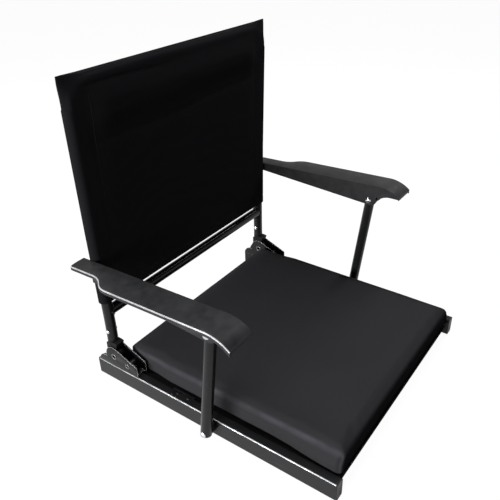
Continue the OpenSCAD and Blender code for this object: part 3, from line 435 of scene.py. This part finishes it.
# Seat board and its screws. Birch plywood faced with dark brown film, its sawn edges stained to match, held
# by zinc-plated pan-head screws.
film_brown = (0.006, 0.0055, 0.0053, 1)
film_worn = (0.02, 0.0165, 0.015, 1)
zinc_white = (0.78, 0.79, 0.82, 1)
ply_n = 5
grain_size = 160
grain_deep = 0.00006
film_wear_size = 8
ply_wear_size = 300
film_gloss_size = 200
board_low, board_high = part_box("seat_board")
plywood, tree, shader, place = new_finish("film_faced_plywood")
grain = clouds(tree, stretched(tree, place, (1, 0.05, 1)), grain_size, 0, 1, detail=5)
bands = add(tree, "TexWave", {
    "Vector": place,
    "Scale": ply_n / (board_high.z - board_low.z) * math.pi / 20,
    "Distortion": 0.4,
}, bands_direction="Z")
edge = add(tree, "MapRange", {"Value": bands.outputs[1], "From Min": 0.3, "From Max": 0.7}).outputs[0]
film_wear = product(tree, grain, clouds(tree, place, film_wear_size, 0.1, 0.6))
tone = mixed(tree, film_wear, film_brown, film_worn)
tone = mixed(tree, product(tree, edge, clouds(tree, place, ply_wear_size, 0, 0.4)), tone, film_worn)
tree.links.new(tone, shader.inputs["Base Color"])
shader.inputs["Specular IOR Level"].default_value = 0.2
tree.links.new(clouds(tree, place, film_gloss_size, 0.4, 0.6), shader.inputs["Roughness"])
relief(tree, shader, grain, grain_deep)
dress(plywood, "seat_board")
zinc = bright_metal("bright_zinc", zinc_white, 0.2)
dress(zinc, "board_screws")

# Cushion. A foam pad in a tight black polyester cover. The foam swells the cover a little between its
# corners and over the rails at the front. The cover is drawn in at its side seam and tucked at its upright
# corners. Its upper sides carry a painted highlight, a paler band of colour in patches.
pad_low, pad_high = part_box("seat_cushion")
pad_middle = (pad_low + pad_high) / 2
pad_corner = 0.005
pad_edge = 0.009
pad_hem = 0.0015
pad_start = 0.0022
pad_voxel = 0.0042
pad_pressure = 4
pad_steps = 20
pad_swell = 0.0035
pad_even = 5
pad_side = 0.9
pad_wide = 0.016
pad_long = 0.012
pad_free_y = (0.09, 0.125)
pad_room = 0.0003
pad_room_front = 0.0042
pad_past_front = 0.002
pad_past_rear = 0.001
pad_crown = 0.002
pad_sink = 0.0006
pad_wave = 0.0005
pad_wave_scale = 11
pad_seam_z = 0.0536
pad_seam = 0.0004
pad_seam_half = 0.0035
tuck_in = 0.0055
tuck_half = 0.003
tuck_deep = 0.0034
tuck_low = 0.031
tuck_high = 0.061
tuck_foot = 0.005
tuck_head = 0.006
tuck_side = 0.96
pad_black = (0.0262, 0.026, 0.0284, 1)
# The cushion's painted highlight: a paler colour in a band along its upper sides.
pad_highlight = (0.058, 0.058, 0.066, 1)
pad_highlight_low = (pad_high.z - 0.0125, pad_high.z - 0.0035)
pad_highlight_high = (pad_high.z - 0.003, pad_high.z + 0.0008)
pad_highlight_side = (pad_high.x - 0.009, pad_high.x - 0.003)
pad_out = 0.0065
pad_out_y = (0.1, 0.21)
pad_out_z = (0.042, 0.06)
pad_out_side = (0.9, 0.98)
over_rail = 0.0323
cloth_pale = 1.12
cloth_worn = 1.7
cloth_mottle_size = 9
cloth_highlight_patch_size = 26
cloth_gloss_size = 18
weave_deep = 0.00003


def eased(tree, value, limits, start=0, end=1):
    """A mask that goes smoothly from start to end between two limits."""
    span = {"Value": value, "From Min": limits[0], "From Max": limits[1], "To Min": start, "To Max": end}
    return add(tree, "MapRange", span, interpolation_type="SMOOTHSTEP").outputs[0]


def woven(name, black, pitch, rough, sheen, rim=None):
    """Plain-weave cloth: crossing threads and a hardly seen mottle. The cushion's carries a painted highlight,
    a paler band in patches along its upper sides."""
    finish, tree, shader, place = new_finish(name)
    thread = {"Vector": place, "Scale": math.pi / 10 / pitch, "Distortion": 0.5, "Detail": 1, "Detail Scale": 3}
    weave = add(tree, "TexWave", thread, bands_direction="X").outputs[1]
    for direction in ("Y", "Z"):
        bands = add(tree, "TexWave", thread, bands_direction=direction).outputs[1]
        weave = add(tree, "Math", {0: weave, 1: bands}, operation="ADD").outputs[0]
    threads = {"Value": weave, "From Min": 0.6, "From Max": 2.4, "To Max": 0.35}
    threads = add(tree, "MapRange", threads).outputs[0]
    tone = mixed(tree, clouds(tree, place, cloth_mottle_size, 0, 1), black, tinted(black, cloth_pale))
    tone = mixed(tree, threads, tone, tinted(black, cloth_worn))
    if rim:
        # Painted highlight: a paler band along the upper sides, broken into patches.
        axes = add(tree, "SeparateXYZ", {"Vector": place}).outputs
        out = add(tree, "Math", {0: axes["X"]}, operation="ABSOLUTE").outputs[0]
        height = product(tree, eased(tree, axes["Z"], pad_highlight_low), eased(tree, axes["Z"], pad_highlight_high, 1, 0))
        patches = product(tree, eased(tree, out, pad_highlight_side), clouds(tree, place, cloth_highlight_patch_size, 0.25, 1))
        tone = mixed(tree, product(tree, height, patches), tone, rim)
    tree.links.new(tone, shader.inputs["Base Color"])
    gloss_patches = clouds(tree, place, cloth_gloss_size, rough - 0.04, rough + 0.04)
    tree.links.new(gloss_patches, shader.inputs["Roughness"])
    shader.inputs["Specular IOR Level"].default_value = 0
    shader.inputs["Sheen Weight"].default_value = sheen
    shader.inputs["Sheen Roughness"].default_value = 0.5
    shader.inputs["Sheen Tint"].default_value = (0.9, 0.88, 1, 1)
    relief(tree, shader, weave, weave_deep)
    return finish


def smooth(value, start, end):
    """Rises smoothly from 0 at start to 1 at end."""
    share = min(1, max(0, (value - start) / (end - start)))
    return share * share * (3 - 2 * share)


def capped(piece, rest, limit, inward):
    """Holds each point of a swollen piece near where it was, and hardly lets it sink in."""
    for vertex, (start, normal) in zip(piece.data.vertices, rest):
        move = vertex.co - start
        sunk = move.dot(normal) + inward
        if sunk < 0:
            move -= normal * sunk
        if move.length > limit:
            move *= limit / move.length
        vertex.co = start + move


size = pad_high - pad_low
cushion = begin("cushion", bpy.ops.mesh.primitive_cube_add, size=1, location=pad_middle, scale=(
    size.x - 2 * pad_start, size.y - 2 * pad_start, size.z - pad_start))
bpy.ops.object.mode_set(mode="EDIT")
pick(cushion, "edges", lambda e: abs(e.verts[0].co.z - e.verts[1].co.z) > size.z / 2)
bpy.ops.mesh.bevel(offset=pad_corner, segments=6, affect="EDGES")
pick(cushion, "edges", lambda e: min(v.co.z for v in e.verts) > pad_middle.z and e.is_manifold
     and e.calc_face_angle() > 1)
bpy.ops.mesh.bevel(offset=pad_edge, segments=5, affect="EDGES")
pick(cushion, "edges", lambda e: max(v.co.z for v in e.verts) < pad_middle.z - size.z / 3 and e.is_manifold
     and e.calc_face_angle() > 1)
bpy.ops.mesh.bevel(offset=pad_hem, segments=3, affect="EDGES")
bpy.ops.object.mode_set(mode="OBJECT")
cushion.data.remesh_voxel_size = pad_voxel
bpy.ops.object.voxel_remesh()
rest = [(vertex.co.copy(), vertex.normal.copy()) for vertex in cushion.data.vertices]
swelling = cushion.modifiers.new("swelling", "CLOTH")
swelling.settings.use_pressure = True
swelling.settings.uniform_pressure_force = pad_pressure
swelling.settings.effector_weights.gravity = 0
for step in range(1, pad_steps + 1):
    bpy.context.scene.frame_set(step)
bpy.ops.object.modifier_apply(modifier=swelling.name)
bpy.context.scene.frame_set(1)
capped(cushion, rest, pad_swell, pad_sink)
even = cushion.modifiers.new("even", "SMOOTH")
even.factor = 0.5
even.iterations = pad_even
bpy.ops.object.modifier_apply(modifier=even.name)
finer = cushion.modifiers.new("finer", "SUBSURF")
finer.levels = finer.render_levels = 1
bpy.ops.object.modifier_apply(modifier=finer.name)
half_x = size.x / 2
half_y = size.y / 2
for vertex in cushion.data.vertices:
    across = (vertex.co - pad_middle).x / half_x
    along = (vertex.co - pad_middle).y / half_y
    edge = max(abs(across), abs(along))
    off_seam = abs(vertex.co.z - pad_seam_z) / pad_seam_half
    if edge > pad_side and off_seam < 1:
        draw = pad_seam * (1 + math.cos(math.pi * off_seam)) / 2
        if abs(across) > abs(along):
            vertex.co.x -= math.copysign(draw, across)
        else:
            vertex.co.y -= math.copysign(draw, along)
    if vertex.co.z > pad_middle.z:
        wave = noise.noise(Vector((vertex.co.x * pad_wave_scale, vertex.co.y * pad_wave_scale, 2)))
        vertex.co.z += pad_wave * wave * (1 - edge ** 6)
    free = 1 - smooth(vertex.co.y, *pad_free_y)
    vertex.co.x += vertex.co.x * pad_wide * free
    vertex.co.y += min(0, vertex.co.y - pad_middle.y) * pad_long
    out = pad_out * smooth(-vertex.co.y, *pad_out_y) * (1 - smooth(vertex.co.z, *pad_out_z))
    vertex.co.x += math.copysign(out * smooth(abs(across), *pad_out_side), across)
    room = pad_room + pad_room_front * free + out
    vertex.co.x = min(max(vertex.co.x, pad_low.x - room), pad_high.x + room)
    vertex.co.y = min(max(vertex.co.y, pad_low.y - pad_past_front), pad_high.y + pad_past_rear)
    vertex.co.z = min(max(vertex.co.z, pad_low.z), pad_high.z + pad_crown)
    if abs(vertex.co.x) > board_high.x:
        vertex.co.z = max(vertex.co.z, over_rail)
    off_tuck = abs(half_y - abs((vertex.co - pad_middle).y) - tuck_in) / tuck_half
    if abs(across) > tuck_side and off_tuck < 1:
        upright = smooth(vertex.co.z, tuck_low, tuck_low + tuck_foot)
        upright *= 1 - smooth(vertex.co.z, tuck_high - tuck_head, tuck_high)
        vertex.co.x -= math.copysign(tuck_deep * upright * (1 + math.cos(math.pi * off_tuck)) / 2, across)
bpy.ops.object.shade_smooth()
pad_cloth = woven("cushion_cloth", pad_black, 0.0007, 0.5, 0, rim=pad_highlight)
stands_for(cushion, "seat_frame", "pad_cloth", pad_cloth, "seat_cushion")

# Cover hems and staples. The cushion's cover is pulled round the front and rear edges of the board and held
# under it by a row of steel staples.
hem_t = 0.0009
hem_gap = 0.0002
hem_foam = 0.0032
hem_half = 0.2035
hem_top = 0.0286
hem_back = 0.026
hem_fold = 0.0018
hem_sag = 0.0004
hem_ragged = 0.002
hem_raw = 0.9
hem_cuts = 63
staple_n = 9
staple_in = 0.012
staple_size = (0.0105, 0.0013, 0.0007)
staple_round = 0.0002
staple_askew = 0.25
staple_steel = bright_metal("staple_steel", (0.5, 0.5, 0.52, 1), 0.3)
for end, edge_y, way in (("front", board_low.y, 1), ("rear", board_high.y, -1)):
    outer = edge_y - way * (hem_foam if way > 0 else hem_gap)
    under = board_low.z - hem_gap
    middle = (0, outer + way * hem_back / 2, under)
    hem = begin("cover_hem_" + end, bpy.ops.mesh.primitive_plane_add, size=1, location=middle)
    bpy.ops.object.mode_set(mode="EDIT")
    bpy.ops.transform.resize(value=(2 * hem_half, hem_back, 1), center_override=middle)
    pick(hem, "edges", lambda e: max(abs(v.co.y - outer) for v in e.verts) < 1e-5)
    bpy.ops.mesh.extrude_edges_move(TRANSFORM_OT_translate={"value": (0, 0, hem_top - under)})
    pick(hem, "edges", lambda e: max(abs(v.co.y - outer) + abs(v.co.z - under) for v in e.verts) < 1e-5)
    bpy.ops.mesh.bevel(offset=hem_fold, segments=3, affect="EDGES")
    pick(hem, "edges", lambda e: abs(e.verts[0].co.x - e.verts[1].co.x) > hem_half)
    bpy.ops.mesh.subdivide(number_cuts=hem_cuts)
    bpy.ops.object.mode_set(mode="OBJECT")
    for vertex in hem.data.vertices:
        inward = abs(vertex.co.y - outer) / hem_back
        vertex.co.z -= hem_sag * inward * (1 + noise.noise(Vector((vertex.co.x * 60, 0, way))))
        if inward > hem_raw:
            vertex.co.y += way * hem_ragged * noise.noise(Vector((vertex.co.x * 40, 3, way)))
    wall = hem.modifiers.new("wall", "SOLIDIFY")
    wall.thickness = hem_t
    wall.offset = way
    bpy.ops.object.modifier_apply(modifier=wall.name)
    bpy.ops.object.mode_set(mode="EDIT")
    bpy.ops.mesh.select_all(action="SELECT")
    bpy.ops.mesh.normals_make_consistent(inside=False)
    bpy.ops.object.mode_set(mode="OBJECT")
    bpy.ops.object.shade_smooth_by_angle(angle=math.radians(50))
    stands_for(hem, "seat_frame", "pad_cloth", pad_cloth)
    row = []
    for k in range(staple_n):
        x = hem_half * (2 * (k + 0.5) / staple_n - 1)
        staple = begin("staples_" + end, bpy.ops.mesh.primitive_cube_add, size=1, scale=staple_size,
                       location=(x, edge_y + way * staple_in, under - hem_t - hem_sag))
        bpy.ops.object.mode_set(mode="EDIT")
        bpy.ops.mesh.select_all(action="SELECT")
        bpy.ops.mesh.bevel(offset=staple_round, segments=2, affect="EDGES")
        turn = staple_askew * noise.noise(Vector((k * 1.7, way, 0.5)))
        bpy.ops.transform.rotate(value=turn, orient_axis="Z",
                                 center_override=(x, edge_y + way * staple_in, under))
        bpy.ops.object.mode_set(mode="OBJECT")
        row.append(staple)
    for staple in row:
        staple.select_set(True)
    bpy.ops.object.join()
    staples = bpy.context.object
    bpy.ops.object.shade_smooth_by_angle(angle=math.radians(40))
    stands_for(staples, "seat_frame", "zinc", staple_steel)

# Hinge brackets. Each is pressed from one steel sheet into a channel with two ears, painted, and riveted to
# the rail's top. Its rounded edges get a pale grey, glossy finish of their own, a painted highlight.
bracket_black = (0.009, 0.0092, 0.0098, 1)
bracket_scuff = (0.06, 0.06, 0.063, 1)
bracket_highlight_grey = (0.34, 0.34, 0.35, 1)
sheet_round = 0.0007
bracket_paint = powder_coat("bracket_paint", bracket_black, bracket_scuff, (1, 1, 1))
# Painted highlight: a pale grey, glossy finish for the brackets' rounded edges.
bracket_edge = powder_coat("bracket_edge", bracket_highlight_grey, highlight_grey, (1, 1, 1), rough=0.2, gloss=1)
for side in ("left", "right"):
    bracket = copied("hinge_bracket_" + side, "bracket_" + side)
    bracket.data.materials.append(bracket_paint)
    bracket.data.materials.append(bracket_edge)
    rounded(bracket, sheet_round, finish=1)
    stands_for(bracket, "seat_frame", "bracket_paint", bracket_paint, "hinge_bracket_" + side)
dress(painted_rivet, "bracket_rivets_left", "bracket_rivets_right")

# Hollow rivets of the hinge. A steel tube goes through both ears, and its ends are rolled over into dished
# heads that are painted with the bracket and rubbed shiny.
rolled_black = (0.045, 0.045, 0.048, 1)
rolled_scuff = (0.25, 0.25, 0.26, 1)
# The bore's near-black colour is painted shade inside the hollow rivet.
bore_shade_black = (0.0025, 0.0025, 0.0025, 1)
rolled = powder_coat("rolled_rivet_paint", rolled_black, rolled_scuff, (1, 1, 1), rough=0.16, gloss=1)
bore_shade_finish = powder_coat("bore_grime", bore_shade_black, rivet_black, (1, 1, 1), rough=0.7, gloss=0)
roll_wall = 0.7
roll_half = 0.001
pivot_bore = 0.0062
stop_bore = 0.0045


def hollow_rivet(name, node, bore):
    """A tube along X between two rolled heads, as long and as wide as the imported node."""
    low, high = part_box(node)
    middle = (low + high) / 2
    head_r = (high.z - low.z) / 2
    minor = (head_r - bore / 2) / 2
    flat = roll_half / minor
    parts = []
    for x in (low.x + roll_half, high.x - roll_half):
        ring = begin(name, bpy.ops.mesh.primitive_torus_add, major_segments=48, minor_segments=16,
                     location=(x, middle.y, middle.z), rotation=(0, math.radians(90), 0),
                     major_radius=head_r - minor, minor_radius=minor)
        bpy.ops.object.mode_set(mode="EDIT")
        bpy.ops.mesh.select_all(action="SELECT")
        bpy.ops.transform.resize(value=(flat, 1, 1), center_override=(x, middle.y, middle.z))
        bpy.ops.object.mode_set(mode="OBJECT")
        ring.data.materials.append(rolled)
        parts.append(ring)
    tube = begin(name, bpy.ops.mesh.primitive_cylinder_add, vertices=48, radius=bore / 2 + minor * roll_wall,
                 depth=high.x - low.x - 2 * roll_half, end_fill_type="NOTHING",
                 location=middle, rotation=(0, math.radians(90), 0))
    tube.data.materials.append(bore_shade_finish)
    wall = tube.modifiers.new("wall", "SOLIDIFY")
    wall.thickness = minor * roll_wall
    bpy.ops.object.modifier_apply(modifier=wall.name)
    for ring in parts:
        ring.select_set(True)
    bpy.ops.object.join()
    bpy.ops.object.shade_smooth_by_angle(angle=math.radians(50))
    return tube


for side in ("left", "right"):
    for node, bore in (("hinge_pivot_", pivot_bore), ("stop_pin_", stop_bore)):
        rivet = hollow_rivet(node + "rivet_" + side, node + side, bore)
        stands_for(rivet, "seat_frame", "bracket_rivet", rolled, node + side)
dress(painted_rivet, "stop_sleeve_left", "stop_sleeve_right")

# Back frame. Round steel tubes: two uprights on moulded feet, a bent top tube and a lower crossbar, all
# coated black. A bead of weld follows each coped end of the crossbar round the upright.
tube_black = (0.0105, 0.0107, 0.0115, 1)
cross_black = (0.0045, 0.0045, 0.005, 1)
foot_round = 0.0022
foot_plastic = moulded("foot_plastic", cross_black, 1500, 0.00003, 0.5, gloss=0.1)
upright_coat = powder_coat("upright_powder_coat", tube_black, rail_scuff, (1, 1, 0.03))
dress(upright_coat, "upright_left", "upright_right")
for side in ("left", "right"):
    foot = copied("knuckle_" + side, "foot_" + side)
    rounded(foot, foot_round, segments=4, sharp=45)
    stands_for(foot, "back", "cap_plastic", foot_plastic, "knuckle_" + side)
dress(zinc, "knuckle_rivet_left", "knuckle_rivet_right")
low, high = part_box("low_crossbar")
cross_coat = powder_coat("cross_tube_powder_coat", cross_black, rail_scuff, (0.03, 1, 1), rough=0.14)
dress(cross_coat, "low_crossbar")
dress(powder_coat("top_tube_powder_coat", tube_black, rail_scuff, (0.03, 1, 1)), "top_tube")
tube_r = (high.z - low.z) / 2


def coped_path(angle):
    """Where one round bar meets another of its own size at a right angle."""
    return Vector((-way * tube_r * abs(math.sin(angle)), tube_r * math.cos(angle), tube_r * math.sin(angle)))


upright_low, upright_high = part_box("upright_left")
for side, way in (("left", 1), ("right", -1)):
    at = Vector((way * (upright_low.x + tube_r), (low.y + high.y) / 2, (low.z + high.z) / 2))
    bead = weld_bead("weld_low_bar_" + side, at, coped_path)
    stands_for(bead, "back", "back_paint", cross_coat)

# Back cloth. A bag of coated polyester, open below, pulled over the uprights and the top tube. It is cut a
# little wide, sewn along both uprights and hemmed just clear of the crossbar, and it hangs a little to one
# side, in soft folds under the top.
sleeve_low, sleeve_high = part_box("back_sleeve")
hem_lift = 0.0085
sleeve_low.z += hem_lift
top_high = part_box("top_tube")[1]
hinge_z = next(joint["pos_m"][2] for joint in frame["joints"] if joint["name"] == "back_fold")
back_y = (upright_low.y + upright_high.y) / 2
cloth_t = 0.0009
bag_r = 0.0102
bag_draw = 0.0015
bag_slack = 0.002
bag_slack_top = 0.0046
bag_shift_top = 0.0045
bag_slack_from = 0.28
bag_top_z = top_high.z - tube_r
bag_bend_r = 0.032
bag_end_n = 24
bag_face_n = 64
bag_rows = 104
bag_row_spread = 0.45
bag_pinch = 0.7
bag_pinch_over = 0.02
bag_thin = 0.0012
bag_draw_fade = 0.06
bag_ear = 0.0048
bag_ear_from = (0.008, 0.019)
bag_ear_out = 0.4
bag_wave = 0.0022
bag_wave_deep = 0.03
seam_in = 0.038
seam_sink = 0.0007
seam_half = 0.003
seam_top = 0.026
hem_up = 0.014
hem_pinch = 0.97
hem_row_half = 0.002
splay = math.tan(math.radians(0.95))
splay_z = hinge_z + 0.063
fold_out = 0.0086
fold_rise = (0.01, 0.044)
fold_fall = (0.05, 0.088)
fold_fade = (0.1, 0.33)
fold_drop = 0.55
fold_slant = 0.028
fold_drift = 0.007
fold_side = (0.165, 0.215)
crease_down = 0.019
crease_half = 0.0028
crease_deep = 0.0016
crease_from = (0.01, 0.07)
step_down = 0.094
step_half = 0.005
step_deep = 0.001
billow = 0.0008
cloth_black = (0.0093, 0.0093, 0.0104, 1)


def bag_rise(z):
    """Share of the way from where the bag begins to hang loose up to its top."""
    return max(0, (z - bag_slack_from) / (bag_top_z - bag_slack_from))


def bag_reach(z):
    """Distance of the middle of the bag's round edge from the middle of the back, at a height."""
    wider = bag_slack + (bag_slack_top - bag_slack) * bag_rise(z)
    return upright_low.x + tube_r + max(0, z - splay_z) * splay + wider


def fold(x, z, front):
    """How far the cloth stands out from its plain shape at a point of the front or the back."""
    down = sleeve_high.z - z
    wave = noise.noise(Vector((x * 5, z * 4, 3 if front else 9)))
    drift = fold_drift * noise.noise(Vector((x * 6, 0.5, 1 if front else 5)))
    slant = fold_slant * x
    bulge = smooth(down, fold_rise[0] + drift / 2, fold_rise[1] + drift)
    bulge -= fold_drop * smooth(down, fold_fall[0] - slant, fold_fall[1] - slant + drift)
    bulge -= (1 - fold_drop) * smooth(down, *fold_fade)
    crease = math.exp(-(((down - crease_down - drift) / crease_half) ** 2)) * smooth(-x, *crease_from)
    step = math.exp(-(((down - step_down + slant - drift) / step_half) ** 2))
    middle = 1 - smooth(abs(x), *fold_side)
    return (fold_out * bulge - crease_deep * crease - step_deep * step + billow * wave) * middle


def face_y(x, z, front):
    """How far the front or the back face stands from the middle of the tubes."""
    reach = bag_reach(min(z, bag_top_z))
    over = max(0, z - bag_top_z)
    half = math.sqrt(max(bag_r * bag_r - over * over, bag_thin ** 2))
    share = min(1, max(0, (1 - x / reach) / 2))
    out = fold(x, z, front) - bag_draw * math.sin(math.pi * share) * smooth(bag_top_z - z, 0, bag_draw_fade)
    from_seam = abs(reach + bag_r - seam_in - abs(x)) / seam_half
    if from_seam < 1:
        out -= seam_sink * (1 + math.cos(math.pi * from_seam)) / 2
    return half + out * (half / bag_r)


def bag_point(index, z):
    """A point of the bag's outline, counted round it, at a height."""
    turn = bag_end_n + bag_face_n
    side = 1 if index < turn else -1
    step = index % turn
    reach = bag_reach(min(z, bag_top_z))
    if step <= bag_end_n:
        angle = math.radians(-90 + 180 * step / bag_end_n)
        x = reach + bag_r * math.cos(angle)
        y = face_y(reach, z, side < 0) * math.sin(angle)
    else:
        x = reach * (1 - 2 * (step - bag_end_n) / bag_face_n)
        y = face_y(x * side, z, side < 0)
    corner = Vector((abs(x) - (reach - bag_bend_r), z - (bag_top_z - bag_bend_r)))
    if corner.x > 0 and corner.y > 0:
        out = max(0, corner.length - bag_bend_r)
        y *= 1 - bag_pinch * smooth(out, 0, bag_pinch_over)
        rise = smooth(out, *bag_ear_from) * bag_ear
        x += rise * (1 if x > 0 else -1) * bag_ear_out
        z += rise
    if abs(z - sleeve_low.z - hem_up) < hem_row_half:
        y *= hem_pinch
    lift = 0.5 + noise.noise(Vector((x * side * 7, 0.3, 8)))
    z += bag_wave * lift * smooth(z, bag_top_z - bag_wave_deep, bag_top_z)
    return Vector((x * side + bag_shift_top * bag_rise(z), back_y + y * side, z))


ring_n = 2 * (bag_end_n + bag_face_n)
bag = begin("back_cloth", bpy.ops.mesh.primitive_cylinder_add, vertices=ring_n, radius=0.2,
            depth=sleeve_high.z - sleeve_low.z, end_fill_type="NOTHING",
            location=(0, 0, (sleeve_high.z + sleeve_low.z) / 2))
bpy.ops.object.mode_set(mode="EDIT")
pick(bag, "edges", lambda e: abs(e.verts[0].co.z - e.verts[1].co.z) > 0.1)
bpy.ops.mesh.subdivide(number_cuts=bag_rows)
bpy.ops.object.mode_set(mode="OBJECT")
for vertex in bag.data.vertices:
    turn = math.atan2(vertex.co.y, vertex.co.x) % (2 * math.pi)
    index = round(turn / (2 * math.pi) * ring_n) % ring_n
    up = (vertex.co.z - sleeve_low.z) / (sleeve_high.z - sleeve_low.z)
    up = up * (1 + bag_row_spread - bag_row_spread * up)
    vertex.co = bag_point(index, sleeve_low.z + (sleeve_high.z - sleeve_low.z) * up)
bpy.ops.object.mode_set(mode="EDIT")
pick(bag, "edges", lambda e: e.is_boundary and min(v.co.z for v in e.verts) > hinge_z + 0.3)
bpy.ops.mesh.edge_face_add()
bpy.ops.mesh.select_all(action="SELECT")
bpy.ops.mesh.normals_make_consistent(inside=False)
bpy.ops.object.mode_set(mode="OBJECT")
cloth = bag.modifiers.new("cloth", "SOLIDIFY")
cloth.thickness = cloth_t
cloth.offset = -1
bpy.ops.object.modifier_apply(modifier=cloth.name)
bpy.ops.object.shade_smooth_by_angle(angle=math.radians(50))
sleeve_cloth = woven("back_cloth", cloth_black, 0.0006, 0.6, 0.02)
stands_for(bag, "back", "sleeve_cloth", sleeve_cloth, "back_sleeve")

# Stitches of the back cloth. Short lockstitches in black polyester thread, one row beside each upright and
# one round the hem, front and back.
stitch_r = 0.0003
stitch_l = 0.0026
stitch_step = 0.0036
stitch_out = 0.0001
thread_black = (0.014, 0.014, 0.015, 1)
rows = []
level = sleeve_low.z + hem_up
reach = bag_reach(level)
for side, way in ((1, -1), (-1, -1), (1, 1), (-1, 1), (0, -1), (0, 1)):
    length = 2 * reach if side == 0 else sleeve_high.z - seam_top - sleeve_low.z
    row = begin("back_stitches", bpy.ops.mesh.primitive_cylinder_add,
                vertices=6, radius=stitch_r, depth=stitch_l,
                rotation=(0, math.radians(90), 0) if side == 0 else (0, 0, 0),
                location=(-reach + stitch_l, 0, level) if side == 0 else (0, 0, sleeve_low.z + stitch_l))
    array = row.modifiers.new("row", "ARRAY")
    array.count = int(length / stitch_step)
    array.use_relative_offset = False
    array.use_constant_offset = True
    array.constant_offset_displace = (stitch_step, 0, 0) if side == 0 else (0, 0, stitch_step)
    bpy.ops.object.modifier_apply(modifier=array.name)
    for vertex in row.data.vertices:
        if side:
            vertex.co.x += side * (bag_reach(vertex.co.z) + bag_r - seam_in)
        pinch = hem_pinch if side == 0 else 1
        vertex.co.y += back_y + way * (pinch * face_y(vertex.co.x, vertex.co.z, way < 0) + stitch_out)
        vertex.co.x += bag_shift_top * bag_rise(vertex.co.z)
    rows.append(row)
for row in rows:
    row.select_set(True)
bpy.ops.object.join()
stitches = bpy.context.object
bpy.ops.object.shade_smooth_by_angle(angle=math.radians(70))
thread = moulded("sewing_thread", thread_black, 3000, 0.00002, 0.6, gloss=0)
stands_for(stitches, "back", "sleeve_cloth", thread)

# Armrest pivots. A zinc-plated bolt goes through each upright and carries the armrest's rear end, with a plain
# nut outside and a black plastic spacer between.
dress(zinc, "arm_pivot_bolt_left", "arm_pivot_bolt_right", "arm_pivot_nut_left", "arm_pivot_nut_right")
dress(cap_plastic, "arm_spacer_left", "arm_spacer_right")

# Armrests. Each is one moulding in black polypropylene, ribbed below, with a fine grain and rounded rims. The
# outer rim carries a painted highlight, a pale grey glossy finish. A zinc-plated bolt joins it to its strut.
arm_black = (0.0172, 0.0174, 0.0186, 1)
# The armrests' painted highlight: pale grey on the rounded outer rim.
arm_highlight_grey = (0.26, 0.26, 0.27, 1)
arm_round = 0.0008
rim_round = 0.0015
rim_turn = math.radians(50)
rim_in = 0.012
rim_up = 0.15
rim_side = 0.05
rim_face = 0.3
arm_plastic = moulded("armrest_plastic", arm_black, 1300, 0.00003, 0.46, gloss=0.12)
arm_rim_highlight = moulded("armrest_rim", arm_highlight_grey, 1300, 0.00002, 0.24, gloss=1)


def on_rim(edge):
    """True for the outer edge of an armrest's top, from the rear round the shoulder to the tip."""
    if len(edge.link_faces) != 2 or edge.calc_face_angle() < rim_turn:
        return False
    ups = [face.normal.z for face in edge.link_faces]
    flats = [abs(face.normal.x) + max(0, face.normal.y) for face in edge.link_faces]
    out = min(abs(vertex.co.x) for vertex in edge.verts)
    return out > rim_from and max(ups) > rim_up and abs(min(ups)) < rim_side and max(flats) > rim_face


rim_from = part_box("armrest_left")[0].x + rim_in
for side in ("left", "right"):
    armrest = copied("armrest_" + side, "arm_" + side)
    armrest.data.materials.append(arm_plastic)
    armrest.data.materials.append(arm_rim_highlight)
    bpy.ops.object.mode_set(mode="EDIT")
    pick(armrest, "edges", on_rim)
    bpy.ops.mesh.bevel(offset=rim_round, segments=4, affect="EDGES", material=1)
    bpy.ops.object.mode_set(mode="OBJECT")
    rounded(armrest, arm_round)
    stands_for(armrest, "armrest_" + side, "arm_plastic", arm_plastic, "armrest_" + side)
dress(zinc, "strut_bolt_left", "strut_bolt_right", "strut_bolt_nut_left", "strut_bolt_nut_right")

# Struts. Round steel tubes, powder-coated black and closed by domed plastic plugs, which hang on the armrests'
# bolts. A zinc-plated rivet holds each one's foot beside the rail, clear of it by a spacer.
strut_coat = powder_coat("strut_powder_coat", tube_black, rail_scuff, (1, 1, 0.03))
dress(strut_coat, "strut_left", "strut_right")
dress(cap_plastic, "strut_plugs_left", "strut_plugs_right", "foot_spacer_left", "foot_spacer_right")
dress(zinc, "foot_rivet_left", "foot_rivet_right")
